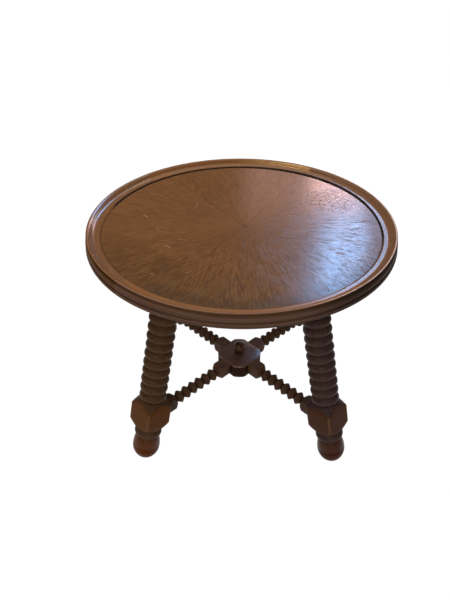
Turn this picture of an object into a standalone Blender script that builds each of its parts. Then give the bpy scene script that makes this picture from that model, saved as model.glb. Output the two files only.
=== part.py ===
"""Round coffee table: a sunburst top in a moulded rim, on splayed ring-turned legs and a cross stretcher."""

import math

import bmesh
import bpy
from mathutils import Matrix, Vector

MM = 0.001

# Gap left between pieces that touch on the real table
CLEARANCE = 0.3 * MM

# Table top: veneer leaves on a round core board
FIELD_HEIGHT = 490 * MM
FIELD_RADIUS = 297 * MM
PANEL_THICKNESS = 19.5 * MM
VENEER_THICKNESS = 1.2 * MM
VENEER_LEAVES = 16
LEAF_POINT_LENGTH = 1.5 * MM
SUNBURST_RIGHT = 9 * MM
SUNBURST_FRONT = 3.5 * MM
TONGUE_LENGTH = 8 * MM
TONGUE_THICKNESS = 6 * MM

# Rim moulding: heights of the ledge and the lip are above the veneered field, distances out from its edge
RIM_SEGMENTS = 4
LEDGE_WIDTH = 12 * MM
LEDGE_RISE = 2.2 * MM
LEDGE_ROUND_WIDTH = 4 * MM
LEDGE_ROUND = 0.7 * MM
COVE_DEPTH = 2 * MM
LIP_DISTANCE = 28 * MM
LIP_RISE = 13.4 * MM
LIP_WIDTH = 3.4 * MM
LIP_ROUND = 1.6 * MM
RIM_FACE_DISTANCE = 28.5 * MM
HOLLOW_HEIGHT = 6.2 * MM
HOLLOW_DEPTH = 2.2 * MM
OVOLO_PROUD = 3.2 * MM
QUIRK_HEIGHT = 1 * MM
QUIRK_DEPTH = 1.2 * MM
LOWER_BEAD_HEIGHT = 12.5 * MM
LOWER_BEAD_PROUD = 4.5 * MM
RIM_FILLET_HEIGHT = 1.1 * MM

# Legs: lengths run up the leg's own axis from the floor, which it meets a reach outside the field's edge
LEGS = 4
LEG_SPLAY = math.radians(13.5)
FOOT_REACH = 13 * MM
FOOT_RADIUS = 31 * MM
FOOT_BELLY_HEIGHT = 34 * MM
FOOT_TIP_BELOW_FLOOR = 2.5 * MM
FOOT_NECK_HEIGHT = 61.5 * MM
FOOT_NECK_RADIUS = 25 * MM
ANKLE_BEAD_LENGTH = 26.5 * MM
ANKLE_BEAD_RADIUS = 30.7 * MM
BLOCK_SIDE = 64 * MM
BLOCK_EDGE_LENGTH = 42 * MM
LOWER_SHOULDER_LENGTH = 15 * MM
UPPER_SHOULDER_LENGTH = 15.6 * MM
RING_PITCH = 22.07 * MM
RING_RADIUS = 30.6 * MM
GROOVE_RADIUS = 24 * MM
COLLAR_RADIUS = 27 * MM
LEG_TENON_RADIUS = 15 * MM
WEDGE_LENGTH = 16 * MM
WEDGE_WIDTH = 22 * MM
WEDGE_HEAD = 4 * MM
WEDGE_POINT = 1 * MM
WEDGE_SINK = 0.8 * MM

# Bearers under the top, halved across each other, and their screws
BEARER_THICKNESS = 26 * MM
BEARER_WIDTH = 80 * MM
BEARER_END = 45 * MM
BEARER_CHAMFER = 12 * MM
SCREW_INNER_RADIUS = 75 * MM
SCREW_OUTER_RADIUS = 140 * MM
SCREW_STAGGER = 18 * MM
SCREW_BITE = 10 * MM
SCREW_SINK = 0.6 * MM
SCREW_HEAD_RADIUS = 4.5 * MM
SCREW_HEAD_EDGE = 0.6 * MM
SCREW_HEAD_HEIGHT = 3.4 * MM
SCREW_SHANK_RADIUS = 2.1 * MM
SCREW_POINT = 5 * MM

# Cross stretcher
HUB_RADIUS = 53.4 * MM
HUB_THICKNESS = 36 * MM
HUB_DROP = 2 * MM
HUB_FLAT_DEPTH = 7.4 * MM
HUB_EDGE_ROUND = 2.5 * MM
STRETCHER_DROP = 2 * MM
STRETCHER_SIDE = 30 * MM
STRETCHER_TENON_RADIUS = 9 * MM
HUB_TENON_LENGTH = 16 * MM
LEG_MORTISE_DEPTH = 22 * MM
HUB_BLOCK_LENGTH = 37.3 * MM
STRETCHER_SHOULDER = 10.5 * MM
BEAD_PITCH = 20.7 * MM
BEAD_RADIUS = 14.9 * MM
BEAD_GROOVE_RADIUS = 7.5 * MM
LEAST_LEG_BLOCK_LENGTH = 34 * MM

# Finial on the hub
FINIAL_TENON_RADIUS = 6 * MM
FINIAL_TENON_LENGTH = 18 * MM
FINIAL_BASE_RADIUS = 11 * MM
FINIAL_BASE_HEIGHT = 2 * MM
FINIAL_NECK_RADIUS = 6.5 * MM
FINIAL_NECK_HEIGHT = 2.5 * MM
FINIAL_BALL_RADIUS = 15 * MM

# Facets round each kind of piece
LEAST_TOP_FACETS = 48
LEG_FACETS = 12
STRETCHER_FACETS = 12
HUB_ARC_STEPS = 6
SCREW_FACETS = 8
RING_STEPS = 4
BEAD_STEPS = 4
HOLLOW_STEPS = 3
LEDGE_STEPS = 2

# Levels and places that follow from the sizes above
FACET_FAMILY = math.lcm(VENEER_LEAVES, RIM_SEGMENTS)
TOP_FACETS = FACET_FAMILY * math.ceil(LEAST_TOP_FACETS / FACET_FAMILY)
FACET_ANGLE = math.tau / TOP_FACETS
PANEL_TOP = FIELD_HEIGHT - VENEER_THICKNESS - CLEARANCE
PANEL_BOTTOM = PANEL_TOP - PANEL_THICKNESS
BEARER_TOP = PANEL_BOTTOM - CLEARANCE
BEARER_BOTTOM = BEARER_TOP - BEARER_THICKNESS
LEG_SHOULDER_LEVEL = BEARER_BOTTOM - CLEARANCE
BLOCK_START = FOOT_NECK_HEIGHT + ANKLE_BEAD_LENGTH + LOWER_SHOULDER_LENGTH
BLOCK_END = BLOCK_START + BLOCK_EDGE_LENGTH
RINGS_START = BLOCK_END + UPPER_SHOULDER_LENGTH
RIM_FACE_RADIUS = FIELD_RADIUS + RIM_FACE_DISTANCE
FOOT_CIRCLE_RADIUS = FIELD_RADIUS + FOOT_REACH
HUB_FLAT_RADIUS = HUB_RADIUS - HUB_FLAT_DEPTH
FIRST_SEAM = math.pi / 4 - 4 * FACET_ANGLE
SUNBURST = Vector((SUNBURST_RIGHT, -SUNBURST_FRONT, 0))
WELD = 1e-6
LEG_PLACES = {
    "back_right": math.radians(45),
    "back_left": math.radians(135),
    "front_left": math.radians(225),
    "front_right": math.radians(315),
}
BEARER_AZIMUTHS = (LEG_PLACES["back_right"], LEG_PLACES["back_left"])


def leg_frame(azimuth):
    """The leg's own frame: its axis is Z and its foot is at the origin, on the floor."""
    out = Matrix.Rotation(azimuth, 4, "Z")
    return out @ Matrix.Translation((FOOT_CIRCLE_RADIUS, 0, 0)) @ Matrix.Rotation(-LEG_SPLAY, 4, "Y")


# Where the stretcher enters the inner face of a leg's block at azimuth 0, a little below the face's middle
FACE_ENTRY = (BLOCK_START + BLOCK_END) / 2 - STRETCHER_DROP / math.cos(LEG_SPLAY)
INNER_FACE = leg_frame(0) @ Vector((-BLOCK_SIDE / 2, 0, FACE_ENTRY))
STRETCHER_HEIGHT = INNER_FACE.z
HUB_HEIGHT = STRETCHER_HEIGHT - HUB_DROP
INNER_FACE_NORMAL = leg_frame(0).to_3x3() @ Vector((1, 0, 0))


def clear_scene():
    for leftover in list(bpy.data.objects):
        bpy.data.objects.remove(leftover)


def arc(start, end, rise, steps):
    """Points after start on a circular arc to end, which bows to the left of its way by rise."""
    start = Vector(start)
    end = Vector(end)
    chord = end - start
    left = Vector((-chord.y, chord.x)).normalized()
    radius = (chord.length_squared / 4 + rise * rise) / (2 * rise)
    centre = (start + end) / 2 + left * (rise - radius)
    sweep = -math.copysign(2 * math.asin(chord.length / (2 * abs(radius))), rise)
    turns = [Matrix.Rotation(sweep * step / steps, 2) for step in range(1, steps + 1)]
    return [tuple(centre + turn @ (start - centre)) for turn in turns]


def mesh_of(bm):
    """A mesh with its faces outwards."""
    bmesh.ops.recalc_face_normals(bm, faces=bm.faces)
    mesh = bpy.data.meshes.new("piece")
    bm.to_mesh(mesh)
    bm.free()
    return mesh


def turned(profile, facets):
    """A solid turned about Z, from (radius, height) points that start and end on the axis.

    Its first facet starts on the diagonal, where a square blank has its corner.
    """
    diagonal = math.sqrt(0.5)
    bm = bmesh.new()
    points = [bm.verts.new((radius * diagonal, radius * diagonal, height)) for radius, height in profile]
    edges = [bm.edges.new(pair) for pair in zip(points, points[1:])]
    bmesh.ops.spin(
        bm, geom=points + edges, cent=(0, 0, 0), axis=(0, 0, 1), angle=math.tau, steps=facets, use_merge=True
    )
    bmesh.ops.remove_doubles(bm, verts=bm.verts, dist=WELD)
    return mesh_of(bm)


def rod(radius, bottom, top, facets):
    return turned([(0, bottom), (radius, bottom), (radius, top), (0, top)], facets)


def box(low, high):
    """A plain block between two opposite corners."""
    bm = bmesh.new()
    bmesh.ops.create_cube(bm, size=1)
    low = Vector(low)
    high = Vector(high)
    bmesh.ops.scale(bm, verts=bm.verts, vec=high - low)
    bmesh.ops.translate(bm, verts=bm.verts, vec=(low + high) / 2)
    return mesh_of(bm)


def slab(outline, bottom, top):
    """A flat piece of the given (x, y) outline."""
    bm = bmesh.new()
    face = bm.faces.new([bm.verts.new((x, y, bottom)) for x, y in outline])
    raised = bmesh.ops.extrude_face_region(bm, geom=[face])["geom"]
    upper = [item for item in raised if isinstance(item, bmesh.types.BMVert)]
    bmesh.ops.translate(bm, verts=upper, vec=(0, 0, top - bottom))
    return mesh_of(bm)


def carved(mesh, tool, operation):
    """The mesh after a Boolean with a tool mesh in the same frame."""
    helpers = [bpy.data.objects.new("body", mesh), bpy.data.objects.new("tool", tool)]
    for helper in helpers:
        bpy.context.scene.collection.objects.link(helper)
    boolean = helpers[0].modifiers.new("carve", "BOOLEAN")
    boolean.operation = operation
    boolean.object = helpers[1]
    graph = bpy.context.evaluated_depsgraph_get()
    result = bpy.data.meshes.new_from_object(helpers[0].evaluated_get(graph))
    for helper in helpers:
        bpy.data.objects.remove(helper)
    return result


def sliced(mesh, point, outward):
    """The mesh sawn off flat through point, without the side that outward points to."""
    bm = bmesh.new()
    bm.from_mesh(mesh)
    everything = bm.verts[:] + bm.edges[:] + bm.faces[:]
    cut = bmesh.ops.bisect_plane(
        bm, geom=everything, dist=WELD, plane_co=point, plane_no=outward, clear_outer=True
    )
    saw_marks = [item for item in cut["geom_cut"] if isinstance(item, bmesh.types.BMEdge)]
    bmesh.ops.holes_fill(bm, edges=saw_marks)
    return mesh_of(bm)


def moved(mesh, matrix):
    mesh.transform(matrix)
    return mesh


def finish(name, colour, roughness, metallic=0.0):
    material = bpy.data.materials.new(name)
    material.use_nodes = True
    shader = material.node_tree.nodes["Principled BSDF"]
    shader.inputs["Base Color"].default_value = (*colour, 1)
    shader.inputs["Roughness"].default_value = roughness
    shader.inputs["Metallic"].default_value = metallic
    return material


def add_piece(name, mesh, material, parent, matrix, smooth_angle=35):
    """A named piece of the table, placed in its parent's frame."""
    if not mesh.materials:
        mesh.materials.append(material)
        mesh.shade_smooth()
        mesh.set_sharp_from_angle(angle=math.radians(smooth_angle))
    piece = bpy.data.objects.new(name, mesh)
    bpy.context.scene.collection.objects.link(piece)
    piece.parent = parent
    piece.location, turn, _ = matrix.decompose()
    piece.rotation_euler = turn.to_euler()
    return piece


def add_empty(name, height, parent=None):
    empty = bpy.data.objects.new(name, None)
    bpy.context.scene.collection.objects.link(empty)
    empty.location.z = height
    empty.parent = parent
    return empty


def panel_mesh(screw_places):
    """Round core board with a tongue round its edge. Its own Z = 0 is its underside."""
    edge = FIELD_RADIUS - CLEARANCE
    tongue_low = (PANEL_THICKNESS - TONGUE_THICKNESS) / 2
    tongue_high = tongue_low + TONGUE_THICKNESS
    profile = [
        (0, 0),
        (edge, 0),
        (edge, tongue_low),
        (edge + TONGUE_LENGTH, tongue_low),
        (edge + TONGUE_LENGTH, tongue_high),
        (edge, tongue_high),
        (edge, PANEL_THICKNESS),
        (0, PANEL_THICKNESS),
    ]
    mesh = turned(profile, TOP_FACETS)
    for place in screw_places:
        in_panel = Matrix.Translation((0, 0, -PANEL_BOTTOM)) @ place
        mesh = carved(mesh, moved(screw_mesh(CLEARANCE), in_panel), "DIFFERENCE")
    return mesh


def leaf_mesh(number):
    """One leaf of the sunburst, which meets the others a little off the middle. Z = 0 is its face."""
    facets = TOP_FACETS // VENEER_LEAVES
    edge = FIELD_RADIUS - CLEARANCE
    first = FIRST_SEAM + number * facets * FACET_ANGLE
    angles = [first + step * FACET_ANGLE for step in range(facets + 1)]
    outer = [Vector((edge * math.cos(angle), edge * math.sin(angle), 0)) - SUNBURST for angle in angles]
    up = Vector((0, 0, 1))
    first_side = outer[0].normalized()
    last_side = outer[-1].normalized()
    from_first = up.cross(first_side) * CLEARANCE / 2
    from_last = last_side.cross(up) * CLEARANCE / 2
    corners = [outer[0] + from_first, *outer[1:-1], outer[-1] + from_last]
    corners += [last_side * LEAF_POINT_LENGTH + from_last, first_side * LEAF_POINT_LENGTH + from_first]
    return slab([corner.xy for corner in corners], -VENEER_THICKNESS, 0)


def rim_profile():
    """Section of the rim as (radius, height above the field), up the inside and down the outside."""
    bottom = PANEL_BOTTOM - FIELD_HEIGHT
    groove_middle = bottom + PANEL_THICKNESS / 2
    groove_low = groove_middle - TONGUE_THICKNESS / 2 - CLEARANCE
    groove_high = groove_middle + TONGUE_THICKNESS / 2 + CLEARANCE
    groove_back = FIELD_RADIUS + TONGUE_LENGTH
    lip_foot = LIP_RISE - LIP_ROUND
    lip_radius = FIELD_RADIUS + LIP_DISTANCE
    lip_inside = (lip_radius - LIP_WIDTH / 2, lip_foot)
    lip_outside = (lip_radius + LIP_WIDTH / 2, lip_foot)
    ovolo_top = (RIM_FACE_RADIUS, lip_foot - HOLLOW_HEIGHT)
    lower_bead_foot = (RIM_FACE_RADIUS, bottom + RIM_FILLET_HEIGHT)
    lower_bead_top = (RIM_FACE_RADIUS, lower_bead_foot[1] + LOWER_BEAD_HEIGHT)
    ovolo_foot = (RIM_FACE_RADIUS, lower_bead_top[1] + QUIRK_HEIGHT)
    ledge_foot = (FIELD_RADIUS, 0)
    ledge_start = (FIELD_RADIUS + LEDGE_ROUND_WIDTH, LEDGE_RISE)
    ledge_end = (FIELD_RADIUS + LEDGE_WIDTH, LEDGE_RISE)
    return [
        (FIELD_RADIUS, bottom),
        (FIELD_RADIUS, groove_low),
        (groove_back, groove_low),
        (groove_back, groove_high),
        (FIELD_RADIUS, groove_high),
        ledge_foot,
        *arc(ledge_foot, ledge_start, LEDGE_ROUND, LEDGE_STEPS),
        ledge_end,
        *arc(ledge_end, lip_inside, -COVE_DEPTH, HOLLOW_STEPS),
        *arc(lip_inside, lip_outside, LIP_ROUND, BEAD_STEPS),
        *arc(lip_outside, ovolo_top, -HOLLOW_DEPTH, HOLLOW_STEPS),
        *arc(ovolo_top, ovolo_foot, OVOLO_PROUD, BEAD_STEPS),
        (RIM_FACE_RADIUS - QUIRK_DEPTH, ovolo_foot[1] - QUIRK_HEIGHT / 2),
        lower_bead_top,
        *arc(lower_bead_top, lower_bead_foot, LOWER_BEAD_PROUD, BEAD_STEPS),
        (RIM_FACE_RADIUS, bottom),
    ]


def rim_segment_mesh():
    """One curved length of the rim, centred on azimuth 0, with a hairline left at each butt joint."""
    sweep = math.tau / RIM_SEGMENTS - CLEARANCE / FIELD_RADIUS
    bm = bmesh.new()
    bm.faces.new([bm.verts.new((radius, 0, height)) for radius, height in rim_profile()])
    bmesh.ops.rotate(bm, verts=bm.verts, matrix=Matrix.Rotation(-sweep / 2, 3, "Z"))
    section = bm.verts[:] + bm.edges[:] + bm.faces[:]
    steps = TOP_FACETS // RIM_SEGMENTS
    bmesh.ops.spin(bm, geom=section, cent=(0, 0, 0), axis=(0, 0, 1), angle=sweep, steps=steps)
    return mesh_of(bm)


def foot_profile():
    """Acorn foot, from the tip that the floor cuts off up to its neck, on two quarter ellipses."""
    lower_length = FOOT_BELLY_HEIGHT + FOOT_TIP_BELOW_FLOOR
    neck_share = FOOT_NECK_RADIUS / FOOT_RADIUS
    upper_length = (FOOT_NECK_HEIGHT - FOOT_BELLY_HEIGHT) / math.sqrt(1 - neck_share**2)
    neck_angle = math.acos(neck_share)
    points = [(0, -FOOT_TIP_BELOW_FLOOR)]
    for step in range(1, 6):
        angle = math.pi / 2 * (step / 5 - 1)
        points.append((FOOT_RADIUS * math.cos(angle), FOOT_BELLY_HEIGHT + lower_length * math.sin(angle)))
    for step in range(1, 4):
        angle = neck_angle * step / 3
        points.append((FOOT_RADIUS * math.cos(angle), FOOT_BELLY_HEIGHT + upper_length * math.sin(angle)))
    return points


def shoulder_reach(length, inner_radius):
    """How far past a block's corner a turned shoulder goes on at its slope, and the radius it gets to."""
    corner_radius = BLOCK_SIDE / math.sqrt(2)
    outer_radius = corner_radius + BLOCK_SIDE / 20
    return length * (outer_radius - corner_radius) / (corner_radius - inner_radius), outer_radius


def leg_profile():
    """What the lathe leaves of a leg, from the foot's tip to past the shoulder at the bearer."""
    ankle_top = FOOT_NECK_HEIGHT + ANKLE_BEAD_LENGTH
    ankle_rise = ANKLE_BEAD_RADIUS - FOOT_NECK_RADIUS
    lower_reach, block_radius = shoulder_reach(LOWER_SHOULDER_LENGTH, FOOT_NECK_RADIUS)
    upper_reach, _ = shoulder_reach(UPPER_SHOULDER_LENGTH, GROOVE_RADIUS)
    shoulder_middle = LEG_SHOULDER_LEVEL / math.cos(LEG_SPLAY)
    shoulder_slope = COLLAR_RADIUS * math.tan(LEG_SPLAY)
    rings = int((shoulder_middle - shoulder_slope - RINGS_START) / RING_PITCH)
    points = foot_profile()
    points += [
        (-x, z)
        for x, z in arc(
            (-FOOT_NECK_RADIUS, FOOT_NECK_HEIGHT), (-FOOT_NECK_RADIUS, ankle_top), ankle_rise, RING_STEPS
        )
    ]
    points += [
        (block_radius, BLOCK_START + lower_reach),
        (block_radius, BLOCK_END - upper_reach),
        (GROOVE_RADIUS, RINGS_START),
    ]
    for ring in range(rings):
        start = RINGS_START + ring * RING_PITCH
        groove = (-GROOVE_RADIUS, start)
        next_groove = (-GROOVE_RADIUS, start + RING_PITCH)
        points += [(-x, z) for x, z in arc(groove, next_groove, RING_RADIUS - GROOVE_RADIUS, RING_STEPS)]
    rings_end = RINGS_START + rings * RING_PITCH
    collar_start = rings_end + COLLAR_RADIUS - GROOVE_RADIUS
    collar_end = shoulder_middle + 2 * shoulder_slope
    return points + [(COLLAR_RADIUS, collar_start), (COLLAR_RADIUS, collar_end), (0, collar_end)]


def wedge_mesh(spare):
    """Wedge driven into a leg's tenon, in the leg's frame, or with spare the kerf that it fills."""
    head = BEARER_TOP / math.cos(LEG_SPLAY) - WEDGE_SINK
    bm = bmesh.new()
    for height, thickness in ((head - WEDGE_LENGTH - spare, WEDGE_POINT), (head + 10 * spare, WEDGE_HEAD)):
        for x in (-thickness / 2 - spare, thickness / 2 + spare):
            for y in (-WEDGE_WIDTH / 2 - spare, WEDGE_WIDTH / 2 + spare):
                bm.verts.new((x, y, height))
    bmesh.ops.convex_hull(bm, input=bm.verts)
    return mesh_of(bm)


def leg_mesh():
    """A leg in its own frame: turned from a square blank, sawn level at both ends, tenoned and mortised."""
    to_leg = leg_frame(0).inverted()
    up = to_leg.to_3x3() @ Vector((0, 0, 1))
    half = BLOCK_SIDE / 2
    top = BEARER_TOP / math.cos(LEG_SPLAY)
    reach = top + BLOCK_SIDE
    blank = box((-half, -half, -BLOCK_SIDE), (half, half, reach))
    mesh = carved(turned(leg_profile(), LEG_FACETS), blank, "INTERSECT")
    mesh = sliced(mesh, (0, 0, 0), -up)
    mesh = sliced(mesh, up * LEG_SHOULDER_LEVEL, up)
    tenon = rod(LEG_TENON_RADIUS, RINGS_START, top + LEG_TENON_RADIUS, LEG_FACETS)
    mesh = carved(mesh, sliced(tenon, up * BEARER_TOP, up), "UNION")
    mesh = carved(mesh, wedge_mesh(CLEARANCE), "DIFFERENCE")
    mortise = rod(STRETCHER_TENON_RADIUS + CLEARANCE, -half, LEG_MORTISE_DEPTH + CLEARANCE, STRETCHER_FACETS)
    entry = to_leg @ Matrix.Translation(INNER_FACE) @ Matrix.Rotation(math.pi / 2, 4, "Y")
    return carved(mesh, moved(mortise, entry), "DIFFERENCE")


def screw_mesh(spare):
    """Countersunk wood screw, point up, with its head at Z = 0, or with spare the hole that it sits in."""
    length = BEARER_THICKNESS - SCREW_SINK + CLEARANCE + SCREW_BITE
    profile = [
        (0, -10 * spare),
        (SCREW_HEAD_RADIUS + spare, -10 * spare),
        (SCREW_HEAD_RADIUS + spare, SCREW_HEAD_EDGE),
        (SCREW_SHANK_RADIUS + spare, SCREW_HEAD_HEIGHT),
        (SCREW_SHANK_RADIUS + spare, length - SCREW_POINT),
        (0, length + spare),
    ]
    return turned(profile, SCREW_FACETS)


def bearer_screw_places(azimuth):
    """Frames of one bearer's four screws, staggered about its middle line."""
    places = []
    for side in (-1, 1):
        for radius, stagger in ((SCREW_INNER_RADIUS, side), (SCREW_OUTER_RADIUS, -side)):
            spot = Vector((side * radius, stagger * SCREW_STAGGER, BEARER_BOTTOM + SCREW_SINK))
            places.append(Matrix.Rotation(azimuth, 4, "Z") @ Matrix.Translation(spot))
    return places


def bearer_mesh(lap_low, lap_high):
    """A bearer along X with its underside at Z = 0, notched between two levels to cross the other one."""
    leg_radius = FOOT_CIRCLE_RADIUS - BEARER_BOTTOM * math.tan(LEG_SPLAY)
    half_length = leg_radius + BEARER_END
    half_width = BEARER_WIDTH / 2
    outline = [
        (-half_length, BEARER_CHAMFER),
        (-half_length + BEARER_CHAMFER, 0),
        (half_length - BEARER_CHAMFER, 0),
        (half_length, BEARER_CHAMFER),
        (half_length, BEARER_THICKNESS),
        (-half_length, BEARER_THICKNESS),
    ]
    mesh = moved(slab(outline, -half_width, half_width), Matrix.Rotation(math.pi / 2, 4, "X"))
    lap_half = half_width + CLEARANCE
    lap = box((-lap_half, -BEARER_WIDTH, lap_low), (lap_half, BEARER_WIDTH, lap_high))
    mesh = carved(mesh, lap, "DIFFERENCE")
    for azimuth in (0, math.pi):
        hole = rod(LEG_TENON_RADIUS + CLEARANCE, RINGS_START, 2 * BEARER_TOP, LEG_FACETS)
        in_bearer = Matrix.Translation((0, 0, -BEARER_BOTTOM)) @ leg_frame(azimuth)
        mesh = carved(mesh, moved(hole, in_bearer), "DIFFERENCE")
    for place in bearer_screw_places(0):
        in_bearer = Matrix.Translation((0, 0, -BEARER_BOTTOM)) @ place
        mesh = carved(mesh, moved(screw_mesh(CLEARANCE), in_bearer), "DIFFERENCE")
    return mesh


def stretcher_mesh():
    """A stretcher along its own Z from the hub's middle: turned from a square blank between two blocks."""
    block_start = HUB_FLAT_RADIUS + CLEARANCE
    beads_start = block_start + HUB_BLOCK_LENGTH
    beads = int((INNER_FACE.x - LEAST_LEG_BLOCK_LENGTH - beads_start) / BEAD_PITCH)
    beads_end = beads_start + beads * BEAD_PITCH
    block_radius = STRETCHER_SIDE / math.sqrt(2) + STRETCHER_SIDE / 20
    past_face = INNER_FACE.x + STRETCHER_SIDE
    tenon_start = HUB_FLAT_RADIUS - HUB_TENON_LENGTH
    points = [
        (0, tenon_start),
        (STRETCHER_TENON_RADIUS, tenon_start),
        (STRETCHER_TENON_RADIUS, block_start),
        (block_radius, block_start),
        (block_radius, beads_start - STRETCHER_SHOULDER),
        (BEAD_GROOVE_RADIUS, beads_start),
    ]
    for bead in range(beads):
        start = beads_start + bead * BEAD_PITCH
        points += [(BEAD_RADIUS, start + BEAD_PITCH / 2), (BEAD_GROOVE_RADIUS, start + BEAD_PITCH)]
    points += [(block_radius, beads_end + STRETCHER_SHOULDER), (block_radius, past_face), (0, past_face)]
    half = STRETCHER_SIDE / 2
    blank = box((-half, -half, 0), (half, half, past_face + half))
    mesh = carved(turned(points, STRETCHER_FACETS), blank, "INTERSECT")
    to_stretcher = stretcher_frame(0).inverted()
    cheek = to_stretcher @ (INNER_FACE - CLEARANCE * INNER_FACE_NORMAL)
    mesh = sliced(mesh, cheek, to_stretcher.to_3x3() @ INNER_FACE_NORMAL)
    tenon_end = INNER_FACE.x + LEG_MORTISE_DEPTH
    tenon_root = INNER_FACE.x - LEAST_LEG_BLOCK_LENGTH / 2
    tenon = rod(STRETCHER_TENON_RADIUS, tenon_root, tenon_end, STRETCHER_FACETS)
    return carved(mesh, tenon, "UNION")


def stretcher_frame(azimuth):
    """A stretcher's frame: its Z runs level from the hub's centre line out to the leg."""
    level = Matrix.Translation((0, 0, STRETCHER_HEIGHT))
    return level @ Matrix.Rotation(azimuth, 4, "Z") @ Matrix.Rotation(math.pi / 2, 4, "Y")


def hub_mesh():
    """Round hub with a flat and a mortise for each stretcher and a hole for the finial, about its middle."""
    flat_half_angle = math.acos(HUB_FLAT_RADIUS / HUB_RADIUS)
    quarter = math.tau / LEGS
    outline = []
    for azimuth in LEG_PLACES.values():
        first = azimuth + flat_half_angle
        sweep = quarter - 2 * flat_half_angle
        for step in range(HUB_ARC_STEPS + 1):
            angle = first + sweep * step / HUB_ARC_STEPS
            outline.append((HUB_RADIUS * math.cos(angle), HUB_RADIUS * math.sin(angle)))
    bm = bmesh.new()
    bm.from_mesh(slab(outline, -HUB_THICKNESS / 2, HUB_THICKNESS / 2))
    rims = [edge for edge in bm.edges if edge.verts[0].co.z == edge.verts[1].co.z]
    bmesh.ops.bevel(bm, geom=rims, offset=HUB_EDGE_ROUND, segments=2, profile=0.5, affect="EDGES")
    mesh = mesh_of(bm)
    mortise_end = HUB_FLAT_RADIUS - HUB_TENON_LENGTH - CLEARANCE
    to_hub = Matrix.Translation((0, 0, -HUB_HEIGHT))
    for azimuth in LEG_PLACES.values():
        mortise = rod(STRETCHER_TENON_RADIUS + CLEARANCE, mortise_end, 2 * HUB_RADIUS, STRETCHER_FACETS)
        mesh = carved(mesh, moved(mortise, to_hub @ stretcher_frame(azimuth)), "DIFFERENCE")
    hole_end = HUB_THICKNESS / 2 - FINIAL_TENON_LENGTH - CLEARANCE
    hole = rod(FINIAL_TENON_RADIUS + CLEARANCE, hole_end, HUB_THICKNESS, STRETCHER_FACETS)
    return carved(mesh, hole, "DIFFERENCE")


def finial_mesh():
    """Turned ball on a waisted foot, with its tenon below Z = 0, the hub's top."""
    neck_height = CLEARANCE + FINIAL_BASE_HEIGHT + FINIAL_NECK_HEIGHT
    ball_start = math.asin(FINIAL_NECK_RADIUS / FINIAL_BALL_RADIUS)
    ball_centre = neck_height + FINIAL_BALL_RADIUS * math.cos(ball_start)
    points = [
        (0, -FINIAL_TENON_LENGTH),
        (FINIAL_TENON_RADIUS, -FINIAL_TENON_LENGTH),
        (FINIAL_TENON_RADIUS, CLEARANCE),
        (FINIAL_BASE_RADIUS, CLEARANCE),
        (FINIAL_BASE_RADIUS, CLEARANCE + FINIAL_BASE_HEIGHT),
        (FINIAL_NECK_RADIUS, neck_height),
    ]
    steps = 2 * RING_STEPS
    for step in range(1, steps):
        angle = ball_start + (math.pi - ball_start) * step / steps
        height = ball_centre - FINIAL_BALL_RADIUS * math.cos(angle)
        points.append((FINIAL_BALL_RADIUS * math.sin(angle), height))
    return turned(points + [(0, ball_centre + FINIAL_BALL_RADIUS)], STRETCHER_FACETS)


def add_top(table):
    veneer = finish("sunburst_veneer", (0.155, 0.072, 0.030), 0.32)
    rim_wood = finish("rim_wood", (0.135, 0.062, 0.026), 0.35)
    board = finish("core_board", (0.42, 0.29, 0.16), 0.75)
    field = add_empty("field_level", FIELD_HEIGHT, table)
    screw_places = [place for azimuth in BEARER_AZIMUTHS for place in bearer_screw_places(azimuth)]
    add_piece("top_panel", panel_mesh(screw_places), board, table, Matrix.Translation((0, 0, PANEL_BOTTOM)))
    meeting_point = Matrix.Translation(SUNBURST)
    for number in range(VENEER_LEAVES):
        add_piece(f"veneer_leaf_{number + 1:02d}", leaf_mesh(number), veneer, field, meeting_point)
    segment = rim_segment_mesh()
    for number, side in enumerate(("right", "back", "left", "front")):
        turn = Matrix.Rotation(number * math.tau / RIM_SEGMENTS, 4, "Z")
        add_piece(f"rim_{side}", segment, rim_wood, field, turn, 25)


def add_bearers(table):
    beech = finish("bearer_wood", (0.30, 0.17, 0.08), 0.7)
    steel = finish("screw_steel", (0.45, 0.44, 0.42), 0.4, 1.0)
    lap = BEARER_THICKNESS / 2
    laps = {
        "bearer_lapped_under": (lap - CLEARANCE / 2, 2 * BEARER_THICKNESS),
        "bearer_lapped_over": (-BEARER_THICKNESS, lap + CLEARANCE / 2),
    }
    number = 0
    for name, azimuth in zip(laps, BEARER_AZIMUTHS):
        place = Matrix.Translation((0, 0, BEARER_BOTTOM)) @ Matrix.Rotation(azimuth, 4, "Z")
        add_piece(name, bearer_mesh(*laps[name]), beech, table, place)
        screw = screw_mesh(0)
        for place in bearer_screw_places(azimuth):
            number += 1
            add_piece(f"bearer_screw_{number}", screw, steel, table, place)


def add_legs(table):
    leg_wood = finish("leg_wood", (0.050, 0.024, 0.013), 0.45)
    wedge_wood = finish("wedge_wood", (0.38, 0.24, 0.12), 0.7)
    leg = leg_mesh()
    wedge = wedge_mesh(0)
    for side, azimuth in LEG_PLACES.items():
        add_piece(f"leg_{side}", leg, leg_wood, table, leg_frame(azimuth), 30)
        add_piece(f"leg_wedge_{side}", wedge, wedge_wood, table, leg_frame(azimuth))


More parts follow.
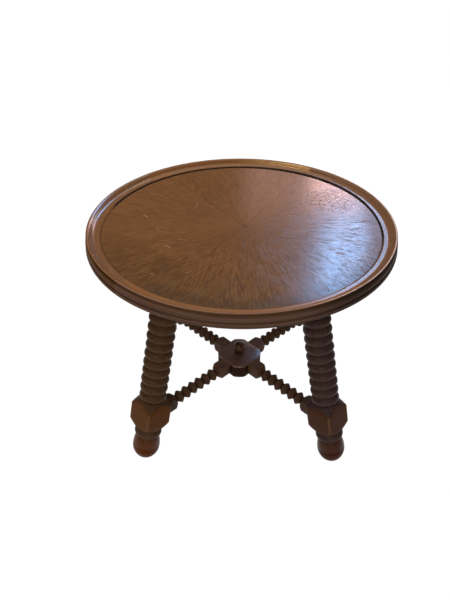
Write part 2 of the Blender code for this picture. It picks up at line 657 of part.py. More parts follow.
def add_cross_stretcher(table):
    stretcher_wood = finish("stretcher_wood", (0.045, 0.024, 0.015), 0.45)
    hub_wood = finish("hub_wood", (0.052, 0.031, 0.027), 0.42)
    finial_wood = finish("finial_wood", (0.075, 0.036, 0.018), 0.38)
    stretcher = stretcher_mesh()
    for side, azimuth in LEG_PLACES.items():
        add_piece(f"stretcher_{side}", stretcher, stretcher_wood, table, stretcher_frame(azimuth), 25)
    add_piece("stretcher_hub", hub_mesh(), hub_wood, table, Matrix.Translation((0, 0, HUB_HEIGHT)))
    hub_top = Matrix.Translation((0, 0, HUB_HEIGHT + HUB_THICKNESS / 2))
    add_piece("hub_finial", finial_mesh(), finial_wood, table, hub_top)


clear_scene()
coffee_table = add_empty("coffee_table", 0)
add_top(coffee_table)
add_bearers(coffee_table)
add_legs(coffee_table)
add_cross_stretcher(coffee_table)
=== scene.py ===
"""Looks of the round coffee table: sunburst top, moulded rim, ring-turned legs and crossed stretchers."""

import math

import bmesh
import bpy
import numpy as np
from mathutils import Matrix, Vector


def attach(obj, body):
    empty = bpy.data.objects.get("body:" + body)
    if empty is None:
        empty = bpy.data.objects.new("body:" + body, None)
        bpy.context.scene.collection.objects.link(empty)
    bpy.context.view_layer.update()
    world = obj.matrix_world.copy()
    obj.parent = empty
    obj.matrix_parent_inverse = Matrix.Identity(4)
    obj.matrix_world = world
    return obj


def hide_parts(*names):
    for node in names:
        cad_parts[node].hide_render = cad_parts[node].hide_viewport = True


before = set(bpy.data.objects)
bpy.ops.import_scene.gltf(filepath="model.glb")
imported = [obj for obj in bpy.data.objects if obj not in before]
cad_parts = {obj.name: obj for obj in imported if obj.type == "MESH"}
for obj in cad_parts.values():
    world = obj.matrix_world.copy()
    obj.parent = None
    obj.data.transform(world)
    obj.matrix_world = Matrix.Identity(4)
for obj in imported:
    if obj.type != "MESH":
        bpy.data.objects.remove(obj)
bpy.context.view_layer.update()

# Core board: the round softwood board under the veneer, seen only from below. It is sawn round and left
# bare, with a tongue on its edge that the rim is grooved for.
MM = 0.001
FIELD_LEVEL = 490 * MM
TOP_THICKNESS = 21 * MM
PANEL_UNDERSIDE = FIELD_LEVEL - TOP_THICKNESS
SOFTWOOD = dict(pale=(0.46, 0.31, 0.17), dark=(0.30, 0.18, 0.085))
OLD_DIRT = (0.16, 0.10, 0.06)


class Finish:
    """A surface built up as a finisher does: a ground colour, then layer after layer, relief and polish."""

    def __init__(self, name, ground, polish):
        self.material = bpy.data.materials.new(name)
        self.material.use_nodes = True
        self.tree = self.material.node_tree
        self.shader = self.tree.nodes["Principled BSDF"]
        self.shader.inputs["Roughness"].default_value = polish
        self.colour = (*ground, 1)
        self.normal = None
        self.place = self.node("ShaderNodeTexCoord").outputs["Object"]

    def node(self, kind, **settings):
        made = self.tree.nodes.new(kind)
        for setting, value in settings.items():
            setattr(made, setting, value)
        return made

    def feed(self, sockets, values):
        """Give each socket its value, as a link where it comes from another node."""
        for socket, value in zip(sockets, values):
            if isinstance(value, bpy.types.NodeSocket):
                self.tree.links.new(value, socket)
            else:
                socket.default_value = value

    def maths(self, operation, *values):
        made = self.node("ShaderNodeMath", operation=operation)
        self.feed(made.inputs, values)
        return made.outputs[0]

    def times(self, first, second):
        return self.maths("MULTIPLY", first, second)

    def larger(self, first, second):
        return self.maths("MAXIMUM", first, second)

    def vectors(self, operation, *values, answer="Vector"):
        made = self.node("ShaderNodeVectorMath", operation=operation)
        self.feed(made.inputs, values)
        return made.outputs[answer]

    def parts(self, vector):
        made = self.node("ShaderNodeSeparateXYZ")
        self.feed(made.inputs, [vector])
        return made.outputs

    def flat_place(self):
        """The place on the piece seen along its own Z."""
        return self.vectors("MULTIPLY", self.place, (1, 1, 0))

    def from_axis(self):
        """How far a place is from the piece's own Z axis."""
        return self.vectors("LENGTH", self.flat_place(), answer="Value")

    def from_middle(self):
        """The same distance, measured square."""
        across = self.parts(self.place)
        return self.larger(self.maths("ABSOLUTE", across[0]), self.maths("ABSOLUTE", across[1]))

    def toward(self, place, way):
        """How far a place lies along a way."""
        return self.vectors("DOT_PRODUCT", place, way, answer="Value")

    def apart(self, place, spot):
        return self.vectors("DISTANCE", place, spot, answer="Value")

    def turned_place(self, angle):
        """The place on the piece with its X along a board that lies at this angle."""
        made = self.node("ShaderNodeMapping")
        self.feed(made.inputs, [self.place, (0, 0, 0), (0, 0, -angle)])
        return made.outputs[0]

    def noise(self, stretch, place=None, detail=3.0, coarse=0.55, twist=0.0):
        """Uneven grain, with as many patches in a metre of each axis as stretch says."""
        made = self.node("ShaderNodeTexNoise")
        scaled = self.vectors("MULTIPLY", place or self.place, stretch)
        self.feed([made.inputs[key] for key in ("Vector", "Scale", "Detail", "Roughness", "Distortion")],
                  [scaled, 1.0, detail, coarse, twist])
        return made.outputs[0]

    def rise(self, value, low, high, top=1.0, bottom=0.0):
        """A smooth way from bottom to top as a value goes from low to high."""
        made = self.node("ShaderNodeMapRange", interpolation_type="SMOOTHSTEP")
        self.feed(made.inputs, [value, low, high, bottom, top])
        return made.outputs[0]

    def band(self, value, fade_in, fade_out):
        """A share that is full between two limits, each a way from none to all."""
        return self.times(self.rise(value, *fade_in), self.rise(value, *fade_out))

    def layer(self, share, colour, way="MIX"):
        """Another coat of colour over what is there, in the given share."""
        made = self.node("ShaderNodeMix", data_type="RGBA", blend_type=way)
        self.feed([made.inputs[0], made.inputs[6], made.inputs[7]], [share, self.colour, (*colour, 1)])
        self.colour = made.outputs[2]

    def tint(self, share, colour):
        """A glaze that darkens what is there, in the given share."""
        self.layer(share, colour, "MULTIPLY")

    def relief(self, height, depth):
        """Fine unevenness, over any that is there."""
        made = self.node("ShaderNodeBump")
        self.feed([made.inputs["Height"], made.inputs["Distance"]], [height, depth])
        if self.normal:
            self.feed([made.inputs["Normal"]], [self.normal])
        self.normal = made.outputs[0]

    def polish(self, roughness):
        self.feed([self.shader.inputs["Roughness"]], [roughness])

    def shine(self, level):
        """How strongly the surface mirrors: 0.5 is plain varnish."""
        self.feed([self.shader.inputs["Specular IOR Level"]], [level])

    def done(self):
        self.feed([self.shader.inputs["Base Color"]], [self.colour])
        if self.normal:
            self.feed([self.shader.inputs["Normal"]], [self.normal])
        return self.material


def bare_wood(name, pale, dark, along, roughness):
    """Unstained wood: growth rings along the board, fine pores and saw marks across it."""
    wood = Finish(name, pale, roughness)
    place = wood.turned_place(along)
    rings = wood.noise((7, 90, 90), place, detail=4, twist=0.6)
    pores = wood.noise((60, 1400, 1400), place, detail=2)
    saw_marks = wood.noise((900, 12, 12), place, detail=1)
    patches = wood.noise((6, 14, 14), place)
    wood.layer(wood.rise(rings, 0.35, 0.7, 0.9), dark)
    wood.layer(wood.rise(pores, 0.55, 0.75, 0.45), tuple(shade * 0.5 for shade in dark))
    wood.layer(wood.rise(patches, 0.4, 0.75, 0.35), OLD_DIRT)
    wood.polish(wood.rise(rings, 0.2, 0.8, roughness + 0.08, roughness - 0.08))
    wood.relief(pores, 0.10 * MM)
    wood.relief(saw_marks, 0.08 * MM)
    return wood.done()


def dress(node_name, material):
    """A CAD node that keeps its shape and takes a better finish."""
    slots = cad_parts[node_name].data.materials
    slots.clear()
    slots.append(material)


dress("top_panel", bare_wood("core_board_softwood", **SOFTWOOD, along=0.0, roughness=0.75))

# Bearers: two beech boards on the diagonals under the core board, halved across each other in the middle.
# They are planed, chamfered at the ends and bored for the leg tenons.
BEECH = dict(pale=(0.34, 0.19, 0.095), dark=(0.22, 0.115, 0.052))
BEARER_BOARDS = {"bearer_lapped_under": math.radians(45), "bearer_lapped_over": math.radians(135)}
for board_name, board_angle in BEARER_BOARDS.items():
    dress(board_name, bare_wood(f"beech_of_{board_name}", **BEECH, along=board_angle, roughness=0.68))

# Bearer screws: eight countersunk steel screws, driven up through the bearers into the core board.
# Their heads are turned bright and have dulled.
SCREWS = 8
SCREW_STEEL = (0.42, 0.41, 0.39)
SCREW_TARNISH = (0.15, 0.11, 0.08)


def screw_finish():
    """Dulled steel with brown tarnish and the marks of turning."""
    steel = Finish("dulled_screw_steel", SCREW_STEEL, 0.4)
    steel.shader.inputs["Metallic"].default_value = 1.0
    tarnish = steel.noise((700, 700, 700), detail=4)
    tool_marks = steel.noise((3000, 300, 300))
    steel.layer(steel.rise(tarnish, 0.4, 0.7, 0.8), SCREW_TARNISH)
    steel.polish(steel.rise(tarnish, 0.3, 0.7, 0.6, 0.32))
    steel.relief(tool_marks, 0.03 * MM)
    return steel.done()


screw_steel = screw_finish()
for number in range(1, SCREWS + 1):
    dress(f"bearer_screw_{number}", screw_steel)

# Legs: four splayed hardwood legs, each turned from one square blank: ringed shaft, square block with turned
# shoulders, one bead and an acorn foot. A round tenon goes up through the bearer, and the stain is dark.
LEG_PLACES = {
    "back_right": math.radians(45),
    "back_left": math.radians(135),
    "front_left": math.radians(225),
    "front_right": math.radians(315),
}
LEG_SPLAY = math.radians(13.5)
FOOT_CIRCLE_RADIUS = 310 * MM
FOOT_RADIUS = 31 * MM
FOOT_BELLY = 34 * MM
FOOT_TIP = -2.5 * MM
NECK_HEIGHT = 64 * MM
NECK_RADIUS = 25 * MM
ANKLE_TOP = 85 * MM
ANKLE_RADIUS = 30.7 * MM
BLOCK_HALF = 32 * MM
BLOCK_CORNER = BLOCK_HALF * math.sqrt(2)
BLOCK_START = 103 * MM
BLOCK_END = 145 * MM
SHOULDER_RADIUS = 27.5 * MM
RINGS_START = 163 * MM
RING_PITCH = 21.88 * MM
RINGS = 13
RING_RADIUS = 30.6 * MM
GROOVE_RADIUS = 23 * MM
RING_SHARES = (0.03, 0.09, 0.17, 0.27, 0.38, 0.5, 0.62, 0.73, 0.83, 0.91, 0.97, 1.0)
COLLAR_RADIUS = 27 * MM
LEG_TENON_RADIUS = 15 * MM
JOINT_GAP = 0.3 * MM
BEARER_THICKNESS = 26.3 * MM
BEARER_TOP = PANEL_UNDERSIDE - JOINT_GAP
LEG_SHOULDER = BEARER_TOP - BEARER_THICKNESS
SHOULDER_SHARES = (0, 0.12, 0.3, 0.5, 0.7, 0.85, 0.95)
SOFT_EDGE = 0.45 * MM
SOFT_CORNER = 40
FIRST_LEG_SEED = 11
TURNED_ANGLES = np.radians(sorted({
    *range(0, 360, 5),
    *(corner + side * step for corner in range(45, 360, 90) for side in (-1, 1) for step in (0.5, 1.2, 2.4)),
}))
LEG_STAINS = {
    "back_right": dict(ground=(0.100, 0.054, 0.032), warmth=(1.0, 0.9, 0.8), shade=(0.85, 0.85, 0.9)),
    "back_left": dict(ground=(0.100, 0.052, 0.027), warmth=(1.0, 0.9, 0.7), shade=(0.85, 0.85, 0.85)),
    "front_left": dict(ground=(0.126, 0.070, 0.038), warmth=(0.95, 0.74, 0.22), shade=(0.84, 0.82, 0.80)),
    "front_right": dict(ground=(0.098, 0.056, 0.048), warmth=(0.58, 0.44, 0.37), shade=(0.78, 0.83, 0.92)),
}
LEG_GRAIN = (0.045, 0.021, 0.011)
BLOCK_BROWN = (0.130, 0.050, 0.008)
LEG_BLOTCH = (0.120, 0.060, 0.030)
FOOT_TINT = (0.90, 0.70, 0.42)
CREST_WEAR_AND_HIGHLIGHT = (0.130, 0.074, 0.044)
RUBBED_ARRIS = (0.20, 0.10, 0.048)
GROOVE_SHADE = (0.020, 0.011, 0.007)
STAINED_PORE = (0.015, 0.008, 0.005)
UNDER_TOP_SHADE = (0.86, 0.86, 0.86)


def square_reach(half):
    """How far a square blank with slightly worn corners reaches at each angle round its axis."""
    worn = np.abs(np.cos(TURNED_ANGLES)) ** SOFT_CORNER + np.abs(np.sin(TURNED_ANGLES)) ** SOFT_CORNER
    return half / worn ** (1 / SOFT_CORNER)


def ring(radius, height):
    """Points of one round of a turned piece."""
    level = np.zeros_like(TURNED_ANGLES) + height
    return np.stack([radius * np.cos(TURNED_ANGLES), radius * np.sin(TURNED_ANGLES), level], axis=1)


def lofted(name, rings, sharp_angle=36):
    """A closed piece skinned over rings of points, with a flat end on the first and the last ring."""
    count = len(rings[0])
    faces = [tuple(range(count)), tuple(range((len(rings) - 1) * count, len(rings) * count))]
    for level in range(len(rings) - 1):
        low = level * count
        for step in range(count):
            onward = (step + 1) % count
            faces.append((low + step, low + onward, low + count + onward, low + count + step))
    mesh = bpy.data.meshes.new(name)
    mesh.from_pydata(np.concatenate(rings).tolist(), [], faces)
    skin = bmesh.new()
    skin.from_mesh(mesh)
    bmesh.ops.recalc_face_normals(skin, faces=skin.faces)
    skin.to_mesh(mesh)
    skin.free()
    mesh.shade_smooth()
    mesh.set_sharp_from_angle(angle=math.radians(sharp_angle))
    piece = bpy.data.objects.new(name, mesh)
    bpy.context.scene.collection.objects.link(piece)
    return piece


def turned_shoulder(reach, slope, groove_radius, groove_height):
    """Rounds of the cone from a groove out to the flats of a square block, with a soft edge between them."""
    meeting = groove_height + (reach - groove_radius) / slope
    rounds = []
    for share in SHOULDER_SHARES:
        rounds.append((groove_radius + share * (reach - groove_radius),
                       groove_height + share * (meeting - groove_height)))
    soft = math.copysign(SOFT_EDGE, slope)
    rounds.append((reach - 0.22 * MM, meeting + soft * 0.1))
    rounds.append((reach, meeting + soft * 2))
    return rounds, meeting


def foot_and_bead():
    """Rounds of the acorn foot and of the bead above it."""
    rounds = []
    belly_drop = FOOT_BELLY - FOOT_TIP
    for angle in np.radians(np.linspace(-89, 0, 15)):
        rounds.append((FOOT_RADIUS * math.cos(angle), FOOT_BELLY + belly_drop * math.sin(angle)))
    neck_share = NECK_RADIUS / FOOT_RADIUS
    belly_rise = (NECK_HEIGHT - FOOT_BELLY) / math.sqrt(1 - neck_share**2)
    for angle in np.linspace(0, math.acos(neck_share), 9)[1:]:
        rounds.append((FOOT_RADIUS * math.cos(angle), FOOT_BELLY + belly_rise * math.sin(angle)))
    for share in np.linspace(0, 1, 15)[1:]:
        swell = math.sin(math.pi * share) ** 0.8
        rounds.append((NECK_RADIUS + (ANKLE_RADIUS - NECK_RADIUS) * swell,
                       NECK_HEIGHT + (ANKLE_TOP - NECK_HEIGHT) * share))
    return rounds


def square_block():
    """Rounds of the leg's square block between its two turned shoulders."""
    reach = square_reach(BLOCK_HALF)
    lower_slope = (BLOCK_CORNER - NECK_RADIUS) / (BLOCK_START - ANKLE_TOP)
    upper_slope = -(BLOCK_CORNER - SHOULDER_RADIUS) / (RINGS_START - BLOCK_END)
    lower, low_edge = turned_shoulder(reach, lower_slope, NECK_RADIUS, ANKLE_TOP)
    upper, high_edge = turned_shoulder(reach, upper_slope, SHOULDER_RADIUS, RINGS_START)
    flats = [(reach, low_edge + (high_edge - low_edge) * share) for share in (0.25, 0.5, 0.75)]
    return lower[1:] + flats + upper[::-1]


def ringed_shaft(hand):
    """Rounds of the ringed shaft, a little uneven from the turner's hand, and its collar."""
    rounds = []
    edges = RINGS_START + RING_PITCH * np.arange(RINGS + 1)
    edges[1:-1] += hand.uniform(-0.35, 0.35, RINGS - 1) * MM
    for low, high in zip(edges, edges[1:]):
        crest = RING_RADIUS + hand.uniform(-0.4, 0.2) * MM
        oval = hand.uniform(0, 0.25) * MM * np.cos(2 * TURNED_ANGLES + hand.uniform(0, 6))
        for share in RING_SHARES:
            swell = 1 - (2 * share - 1) ** 2
            rounds.append((GROOVE_RADIUS + (crest - GROOVE_RADIUS) * swell + oval * swell,
                           low + (high - low) * share))
    rounds.append((COLLAR_RADIUS, edges[-1] + COLLAR_RADIUS - GROOVE_RADIUS))
    return rounds


def leg_rings(seed):
    """A leg's rounds in its own frame, from the sole flat on the floor up to the level tenon end."""
    rounds = foot_and_bead() + square_block() + ringed_shaft(np.random.default_rng(seed))
    rings = [ring(radius, height) for radius, height in rounds]
    slope = math.tan(LEG_SPLAY)
    for points in rings:
        points[:, 2] = np.maximum(points[:, 2], -points[:, 0] * slope)
    for radius, level in ((COLLAR_RADIUS, LEG_SHOULDER), (LEG_TENON_RADIUS, LEG_SHOULDER),
                          (LEG_TENON_RADIUS, BEARER_TOP)):
        points = ring(radius, level / math.cos(LEG_SPLAY))
        points[:, 2] -= points[:, 0] * slope
        rings.append(points)
    return rings


def leg_frame(azimuth):
    """A leg's own frame: its axis is Z, and its foot is at the origin on the floor."""
    out = Matrix.Rotation(azimuth, 4, "Z") @ Matrix.Translation((FOOT_CIRCLE_RADIUS, 0, 0))
    return out @ Matrix.Rotation(-LEG_SPLAY, 4, "Y")


def leg_finish(side, ground, warmth, shade):
    """Dark walnut stain: worn crests and edges, a browner block and foot, and painted highlight and shade.
    """
    wood = Finish(f"leg_stain_{side}", ground, 0.42)
    along = wood.parts(wood.place)[2]
    from_axis = wood.from_axis()
    grain = wood.noise((260, 260, 14), detail=4, twist=0.5)
    pores = wood.noise((1100, 1100, 70), detail=2)
    blotches = wood.noise((24, 24, 24))
    tool_marks = wood.noise((90, 90, 160))
    wood.layer(wood.rise(grain, 0.42, 0.72, 0.6), LEG_GRAIN)
    block = wood.rise(wood.from_middle(), BLOCK_HALF - 1.0 * MM, BLOCK_HALF - 0.1 * MM)
    foot = wood.rise(along, 70 * MM, 50 * MM)
    square_and_foot = wood.larger(block, foot)
    wood.layer(wood.times(square_and_foot, 0.88), BLOCK_BROWN)
    wood.layer(wood.rise(blotches, 0.50, 0.72, 0.4), LEG_BLOTCH)
    wood.tint(square_and_foot, warmth)
    wood.tint(foot, FOOT_TINT)
    # Crests worn paler, and partly a painted highlight along each ring.
    crest = wood.times(wood.rise(from_axis, 28.8 * MM, 30.8 * MM), wood.rise(blotches, 0.3, 0.6, 0.35, 0.1))
    on_shaft = wood.rise(along, RINGS_START - 7 * MM, RINGS_START + 1 * MM)
    wood.layer(wood.times(crest, on_shaft), CREST_WEAR_AND_HIGHLIGHT)
    arris = wood.times(wood.rise(from_axis, 41.5 * MM, 44.2 * MM), wood.rise(grain, 0.3, 0.6, 0.8, 0.2))
    wood.layer(arris, RUBBED_ARRIS)
    # Painted shade: the grooves darkened where shade falls between the rings.
    wood.layer(wood.rise(from_axis, GROOVE_RADIUS + 1.6 * MM, GROOVE_RADIUS + 0.2 * MM, 0.2), GROOVE_SHADE)
    wood.layer(wood.rise(pores, 0.58, 0.74, 0.6), STAINED_PORE)
    wood.tint(wood.rise(square_and_foot, 1.0, 0.0), shade)
    # Painted shade: the shaft darker higher up, under the table top.
    wood.tint(wood.rise(along, 200 * MM, 440 * MM), UNDER_TOP_SHADE)
    wood.polish(wood.rise(blotches, 0.3, 0.7, 0.46, 0.30))
    foot_top = wood.times(wood.rise(along, 32 * MM, 44 * MM), foot)
    wood.shine(wood.rise(foot_top, 0.0, 1.0, 0.20, 0.05))
    wood.relief(pores, 0.12 * MM)
    wood.relief(tool_marks, 0.35 * MM)
    return wood.done()


def place_piece(piece, matrix, material, slot_name, *node_names):
    """Set a new piece where its CAD nodes are, in their stead, with its finish."""
    piece.matrix_world = matrix
    piece.data.materials.append(material)
    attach(piece, "root")
    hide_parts(*node_names)


for number, (side, azimuth) in enumerate(LEG_PLACES.items()):
    leg = lofted(f"turned_leg_{side}", leg_rings(FIRST_LEG_SEED + number))
    place_piece(leg, leg_frame(azimuth), leg_finish(side, **LEG_STAINS[side]), "leg_wood", f"leg_{side}")

# Leg wedges: thin pale wedges driven into the tenons' ends to spread them in the bearer. They are split from
# straight-grained wood and end flush under the core board.
WEDGE_WOOD = dict(pale=(0.42, 0.27, 0.14), dark=(0.30, 0.18, 0.085))
wedge_wood = bare_wood("split_wedge_wood", **WEDGE_WOOD, along=0.0, roughness=0.7)
for side in LEG_PLACES:
    dress(f"leg_wedge_{side}", wedge_wood)

# Stretchers: four level rails from the hub to the legs' blocks, turned from square stock into sharp-edged
# beads between two square ends. They are tenoned at both ends and stained as dark as the legs.
FACE_ENTRY = (BLOCK_START + BLOCK_END) / 2 - 2 * MM / math.cos(LEG_SPLAY)
INNER_FACE = leg_frame(0) @ Vector((-BLOCK_HALF, 0, FACE_ENTRY))
STRETCHER_HALF = 15 * MM
STRETCHER_START = 46.3 * MM
STRETCHER_SHOULDER = 10.5 * MM
STRETCHER_ARRIS = 0.5 * MM
BEADS_START = 83.6 * MM
BEADS = 6
BEAD_PITCH = 20.7 * MM
BEAD_RADIUS = 15.8 * MM
BEAD_GROOVE = 7.5 * MM
BEAD_SHARES = (0.05, 0.15, 0.28, 0.4, 0.46, 0.485, 0.515, 0.54, 0.6, 0.72, 0.85, 0.95, 1.0)
FIRST_STRETCHER_SEED = 31
STRETCHER_GROUND = (0.092, 0.046, 0.026)
STRETCHER_GRAIN = (0.040, 0.020, 0.012)
STRETCHER_BLOTCH = (0.112, 0.060, 0.034)
RUBBED_BEAD = (0.130, 0.074, 0.046)
BEAD_GROOVE_SHADE = (0.016, 0.009, 0.006)
STRETCHER_END_SHADE = (0.026, 0.013, 0.008)


def stretcher_rings(seed):
    """A stretcher's rounds along its own Z, out from the hub to the tilted cheek at the leg."""
    hand = np.random.default_rng(seed)
    reach = square_reach(STRETCHER_HALF)
    slope = (STRETCHER_HALF * math.sqrt(2) - BEAD_GROOVE) / STRETCHER_SHOULDER
    beads_end = BEADS_START + BEADS * BEAD_PITCH
    hub_shoulder, hub_edge = turned_shoulder(reach, -slope, BEAD_GROOVE, BEADS_START)
    leg_shoulder, _ = turned_shoulder(reach, slope, BEAD_GROOVE, beads_end)
    rounds = [(reach - STRETCHER_ARRIS, STRETCHER_START), (reach, STRETCHER_START + STRETCHER_ARRIS)]
    rounds += [(reach, STRETCHER_START + (hub_edge - STRETCHER_START) * share) for share in (0.4, 0.7)]
    rounds += hub_shoulder[::-1]
    edges = BEADS_START + BEAD_PITCH * np.arange(BEADS + 1)
    edges[1:-1] += hand.uniform(-0.3, 0.3, BEADS - 1) * MM
    for low, high in zip(edges, edges[1:]):
        tip = BEAD_RADIUS + hand.uniform(-0.3, 0.1) * MM
        for share in BEAD_SHARES:
            flank = 1 - abs(2 * share - 1)
            swell = min(flank, 1.94 - flank) ** 0.9
            rounds.append((BEAD_GROOVE + (tip - BEAD_GROOVE) * swell, low + (high - low) * share))
    rounds += leg_shoulder[1:]
    rings = [ring(radius, height) for radius, height in rounds]
    for inset in (STRETCHER_ARRIS, 0.0):
        cheek = ring(reach - (STRETCHER_ARRIS - inset), 0)
        cheek[:, 2] = INNER_FACE.x - JOINT_GAP - inset + cheek[:, 0] * math.tan(LEG_SPLAY)
        rings.append(cheek)
    return rings


def stretcher_frame(azimuth):
    """A stretcher's frame: its Z runs level from the hub's centre line out to the leg."""
    level = Matrix.Translation((0, 0, INNER_FACE.z)) @ Matrix.Rotation(azimuth, 4, "Z")
    return level @ Matrix.Rotation(math.pi / 2, 4, "Y")


def stretcher_finish():
    """The legs' stain on thinner rails: worn bead edges, painted shade in grooves and on the end at the leg.
    """
    wood = Finish("stretcher_dark_walnut_stain", STRETCHER_GROUND, 0.42)
    along = wood.parts(wood.place)[2]
    from_axis = wood.from_axis()
    grain = wood.noise((420, 420, 22), detail=4, twist=0.4)
    pores = wood.noise((1300, 1300, 90), detail=2)
    blotches = wood.noise((40, 40, 40))
    tool_marks = wood.noise((140, 140, 200))
    wood.layer(wood.rise(grain, 0.42, 0.72, 0.6), STRETCHER_GRAIN)
    wood.layer(wood.rise(blotches, 0.48, 0.72, 0.5), STRETCHER_BLOTCH)
    edge = wood.times(wood.rise(from_axis, 13.8 * MM, 15.6 * MM), wood.rise(blotches, 0.3, 0.6, 0.6, 0.25))
    wood.layer(edge, RUBBED_BEAD)
    # Painted shade: the grooves between the beads darkened.
    wood.layer(wood.rise(from_axis, 9.5 * MM, 7.8 * MM, 0.6), BEAD_GROOVE_SHADE)
    # Painted shade on the square end at the leg, where the leg shades it.
    on_flats = wood.rise(wood.from_middle(), 13.8 * MM, 14.8 * MM)
    far_end = wood.times(on_flats, wood.rise(along, 205 * MM, 215 * MM))
    wood.layer(wood.times(far_end, 0.45), STRETCHER_END_SHADE)
    wood.layer(wood.rise(pores, 0.58, 0.74, 0.6), STAINED_PORE)
    wood.polish(wood.rise(blotches, 0.3, 0.7, 0.50, 0.36))
    wood.shine(0.05)
    wood.relief(pores, 0.10 * MM)
    wood.relief(tool_marks, 0.2 * MM)
    return wood.done()


stretcher_stain = stretcher_finish()
for number, (side, azimuth) in enumerate(LEG_PLACES.items()):
    rail = lofted(f"turned_stretcher_{side}", stretcher_rings(FIRST_STRETCHER_SEED + number), 24)
    place_piece(rail, stretcher_frame(azimuth), stretcher_stain, "stretcher_wood", f"stretcher_{side}")

# Hub: a thick round hardwood disc where the stretchers meet, cut flat where each one is tenoned in.
# Its edges are rounded over, and its top is stained dark and polished.
HUB_RADIUS = 53.4 * MM
HUB_FLAT = 46 * MM
HUB_HALF = 18 * MM
HUB_MIDDLE = INNER_FACE.z - 2 * MM
HUB_ROUND = 2.5 * MM
HUB_GROUND_AND_SHEEN = (0.130, 0.072, 0.056)
HUB_GRAIN = (0.050, 0.028, 0.022)
HUB_SMEAR = (0.100, 0.062, 0.046)
HUB_SIDE_SHADE = (0.034, 0.013, 0.007)
HUB_EDGE_HIGHLIGHT = (0.250, 0.145, 0.105)
HUB_PORE = (0.016, 0.009, 0.007)


def hub_ring(inset, height):
    """The hub's outline, round with four flats on the diagonals, drawn in by an inset."""
    flat_end = math.degrees(math.acos(HUB_FLAT / HUB_RADIUS))
    steps = (*np.linspace(-flat_end, flat_end, 7), *np.linspace(flat_end, 90 - flat_end, 13)[1:-1])
    marks = [45 + quarter * 90 + step for quarter in range(4) for step in steps]
    angles = np.radians(sorted(mark % 360 for mark in marks))
    off_flat = np.abs(angles % (math.pi / 2) - math.pi / 4)
    reach = np.minimum(HUB_RADIUS - inset, (HUB_FLAT - inset) / np.cos(off_flat))
    return np.stack([reach * np.cos(angles), reach * np.sin(angles), np.zeros_like(angles) + height], axis=1)


def hub_rings():
    """The hub's rounds, from its lower edge to its upper one."""
    edge = [(HUB_ROUND * (1 - math.sin(turn)), HUB_ROUND * (1 - math.cos(turn)))
            for turn in np.linspace(0, math.pi / 2, 6)]
    lower = [hub_ring(inset, drop - HUB_HALF) for inset, drop in edge]
    upper = [hub_ring(inset, HUB_HALF - drop) for inset, drop in edge[::-1]]
    return lower + upper


def hub_finish():
    """Dark stain, a polished and smeared top, with painted sheen, highlight and shade."""
    # The ground is paler than the stain alone, as a painted sheen on the top.
    wood = Finish("hub_dark_stain", HUB_GROUND_AND_SHEEN, 0.2)
    grain = wood.noise((16, 240, 240), detail=4, twist=0.8)
    pores = wood.noise((60, 1100, 1100), detail=2)
    smears = wood.noise((40, 40, 40))
    height = wood.parts(wood.place)[2]
    side = wood.rise(height, HUB_HALF - 1.5 * MM, HUB_HALF - 3.5 * MM)
    arris = wood.band(height, (15.0 * MM, 16.6 * MM), (17.9 * MM, 17.4 * MM))
    wood.layer(wood.rise(grain, 0.42, 0.72, 0.4), HUB_GRAIN)
    wood.layer(wood.rise(smears, 0.5, 0.75, 0.45), HUB_SMEAR)
    # Painted shade: the side darker than the top.
    wood.layer(wood.times(side, 0.95), HUB_SIDE_SHADE)
    # Painted highlight along the rounded upper edge.
    wood.layer(wood.times(arris, 0.6), HUB_EDGE_HIGHLIGHT)
    wood.layer(wood.rise(pores, 0.58, 0.74, 0.6), HUB_PORE)
    wood.polish(wood.rise(smears, 0.3, 0.7, 0.20, 0.14))
    wood.shine(wood.rise(side, 0.0, 1.0, 0.02, 0.5))
    wood.relief(pores, 0.02 * MM)
    wood.relief(smears, 0.05 * MM)
    return wood.done()


hub = lofted("turned_hub", hub_rings())
place_piece(hub, Matrix.Translation((0, 0, HUB_MIDDLE)), hub_finish(), "hub_wood", "stretcher_hub")

# Finial: a small turned ball on a waisted foot, pegged into the middle of the hub. It is hardwood with the
# dark stain, polished by handling.
BALL_RADIUS = 15 * MM
BALL_START = 4.8 * MM
BALL_TOP_TURN = math.radians(178.5)
FINIAL_FOOT = 11 * MM
FINIAL_NECK = 6.5 * MM
FINIAL_GROUND = (0.072, 0.030, 0.014)
FINIAL_GRAIN = (0.028, 0.013, 0.008)
FINIAL_FOOT_SHADE = (0.014, 0.008, 0.006)
FINIAL_RUBBED = (0.12, 0.06, 0.03)


def finial_rounds():
    """The finial as (radius, height above the hub): a low foot, a neck and the ball."""
    foot = [
        (FINIAL_FOOT - 0.4 * MM, JOINT_GAP),
        (FINIAL_FOOT, JOINT_GAP + 0.4 * MM),
        (FINIAL_FOOT, JOINT_GAP + 1.5 * MM),
        (FINIAL_FOOT - 0.6 * MM, JOINT_GAP + 2 * MM),
        (FINIAL_NECK + 1.2 * MM, JOINT_GAP + 3 * MM),
        (FINIAL_NECK, JOINT_GAP + 4 * MM),
    ]
    start = math.asin(FINIAL_NECK / BALL_RADIUS)
    middle = BALL_START + BALL_RADIUS * math.cos(start)
    ball = [(BALL_RADIUS * math.sin(turn), middle - BALL_RADIUS * math.cos(turn))
            for turn in np.linspace(start, BALL_TOP_TURN, 22)]
    return foot + ball


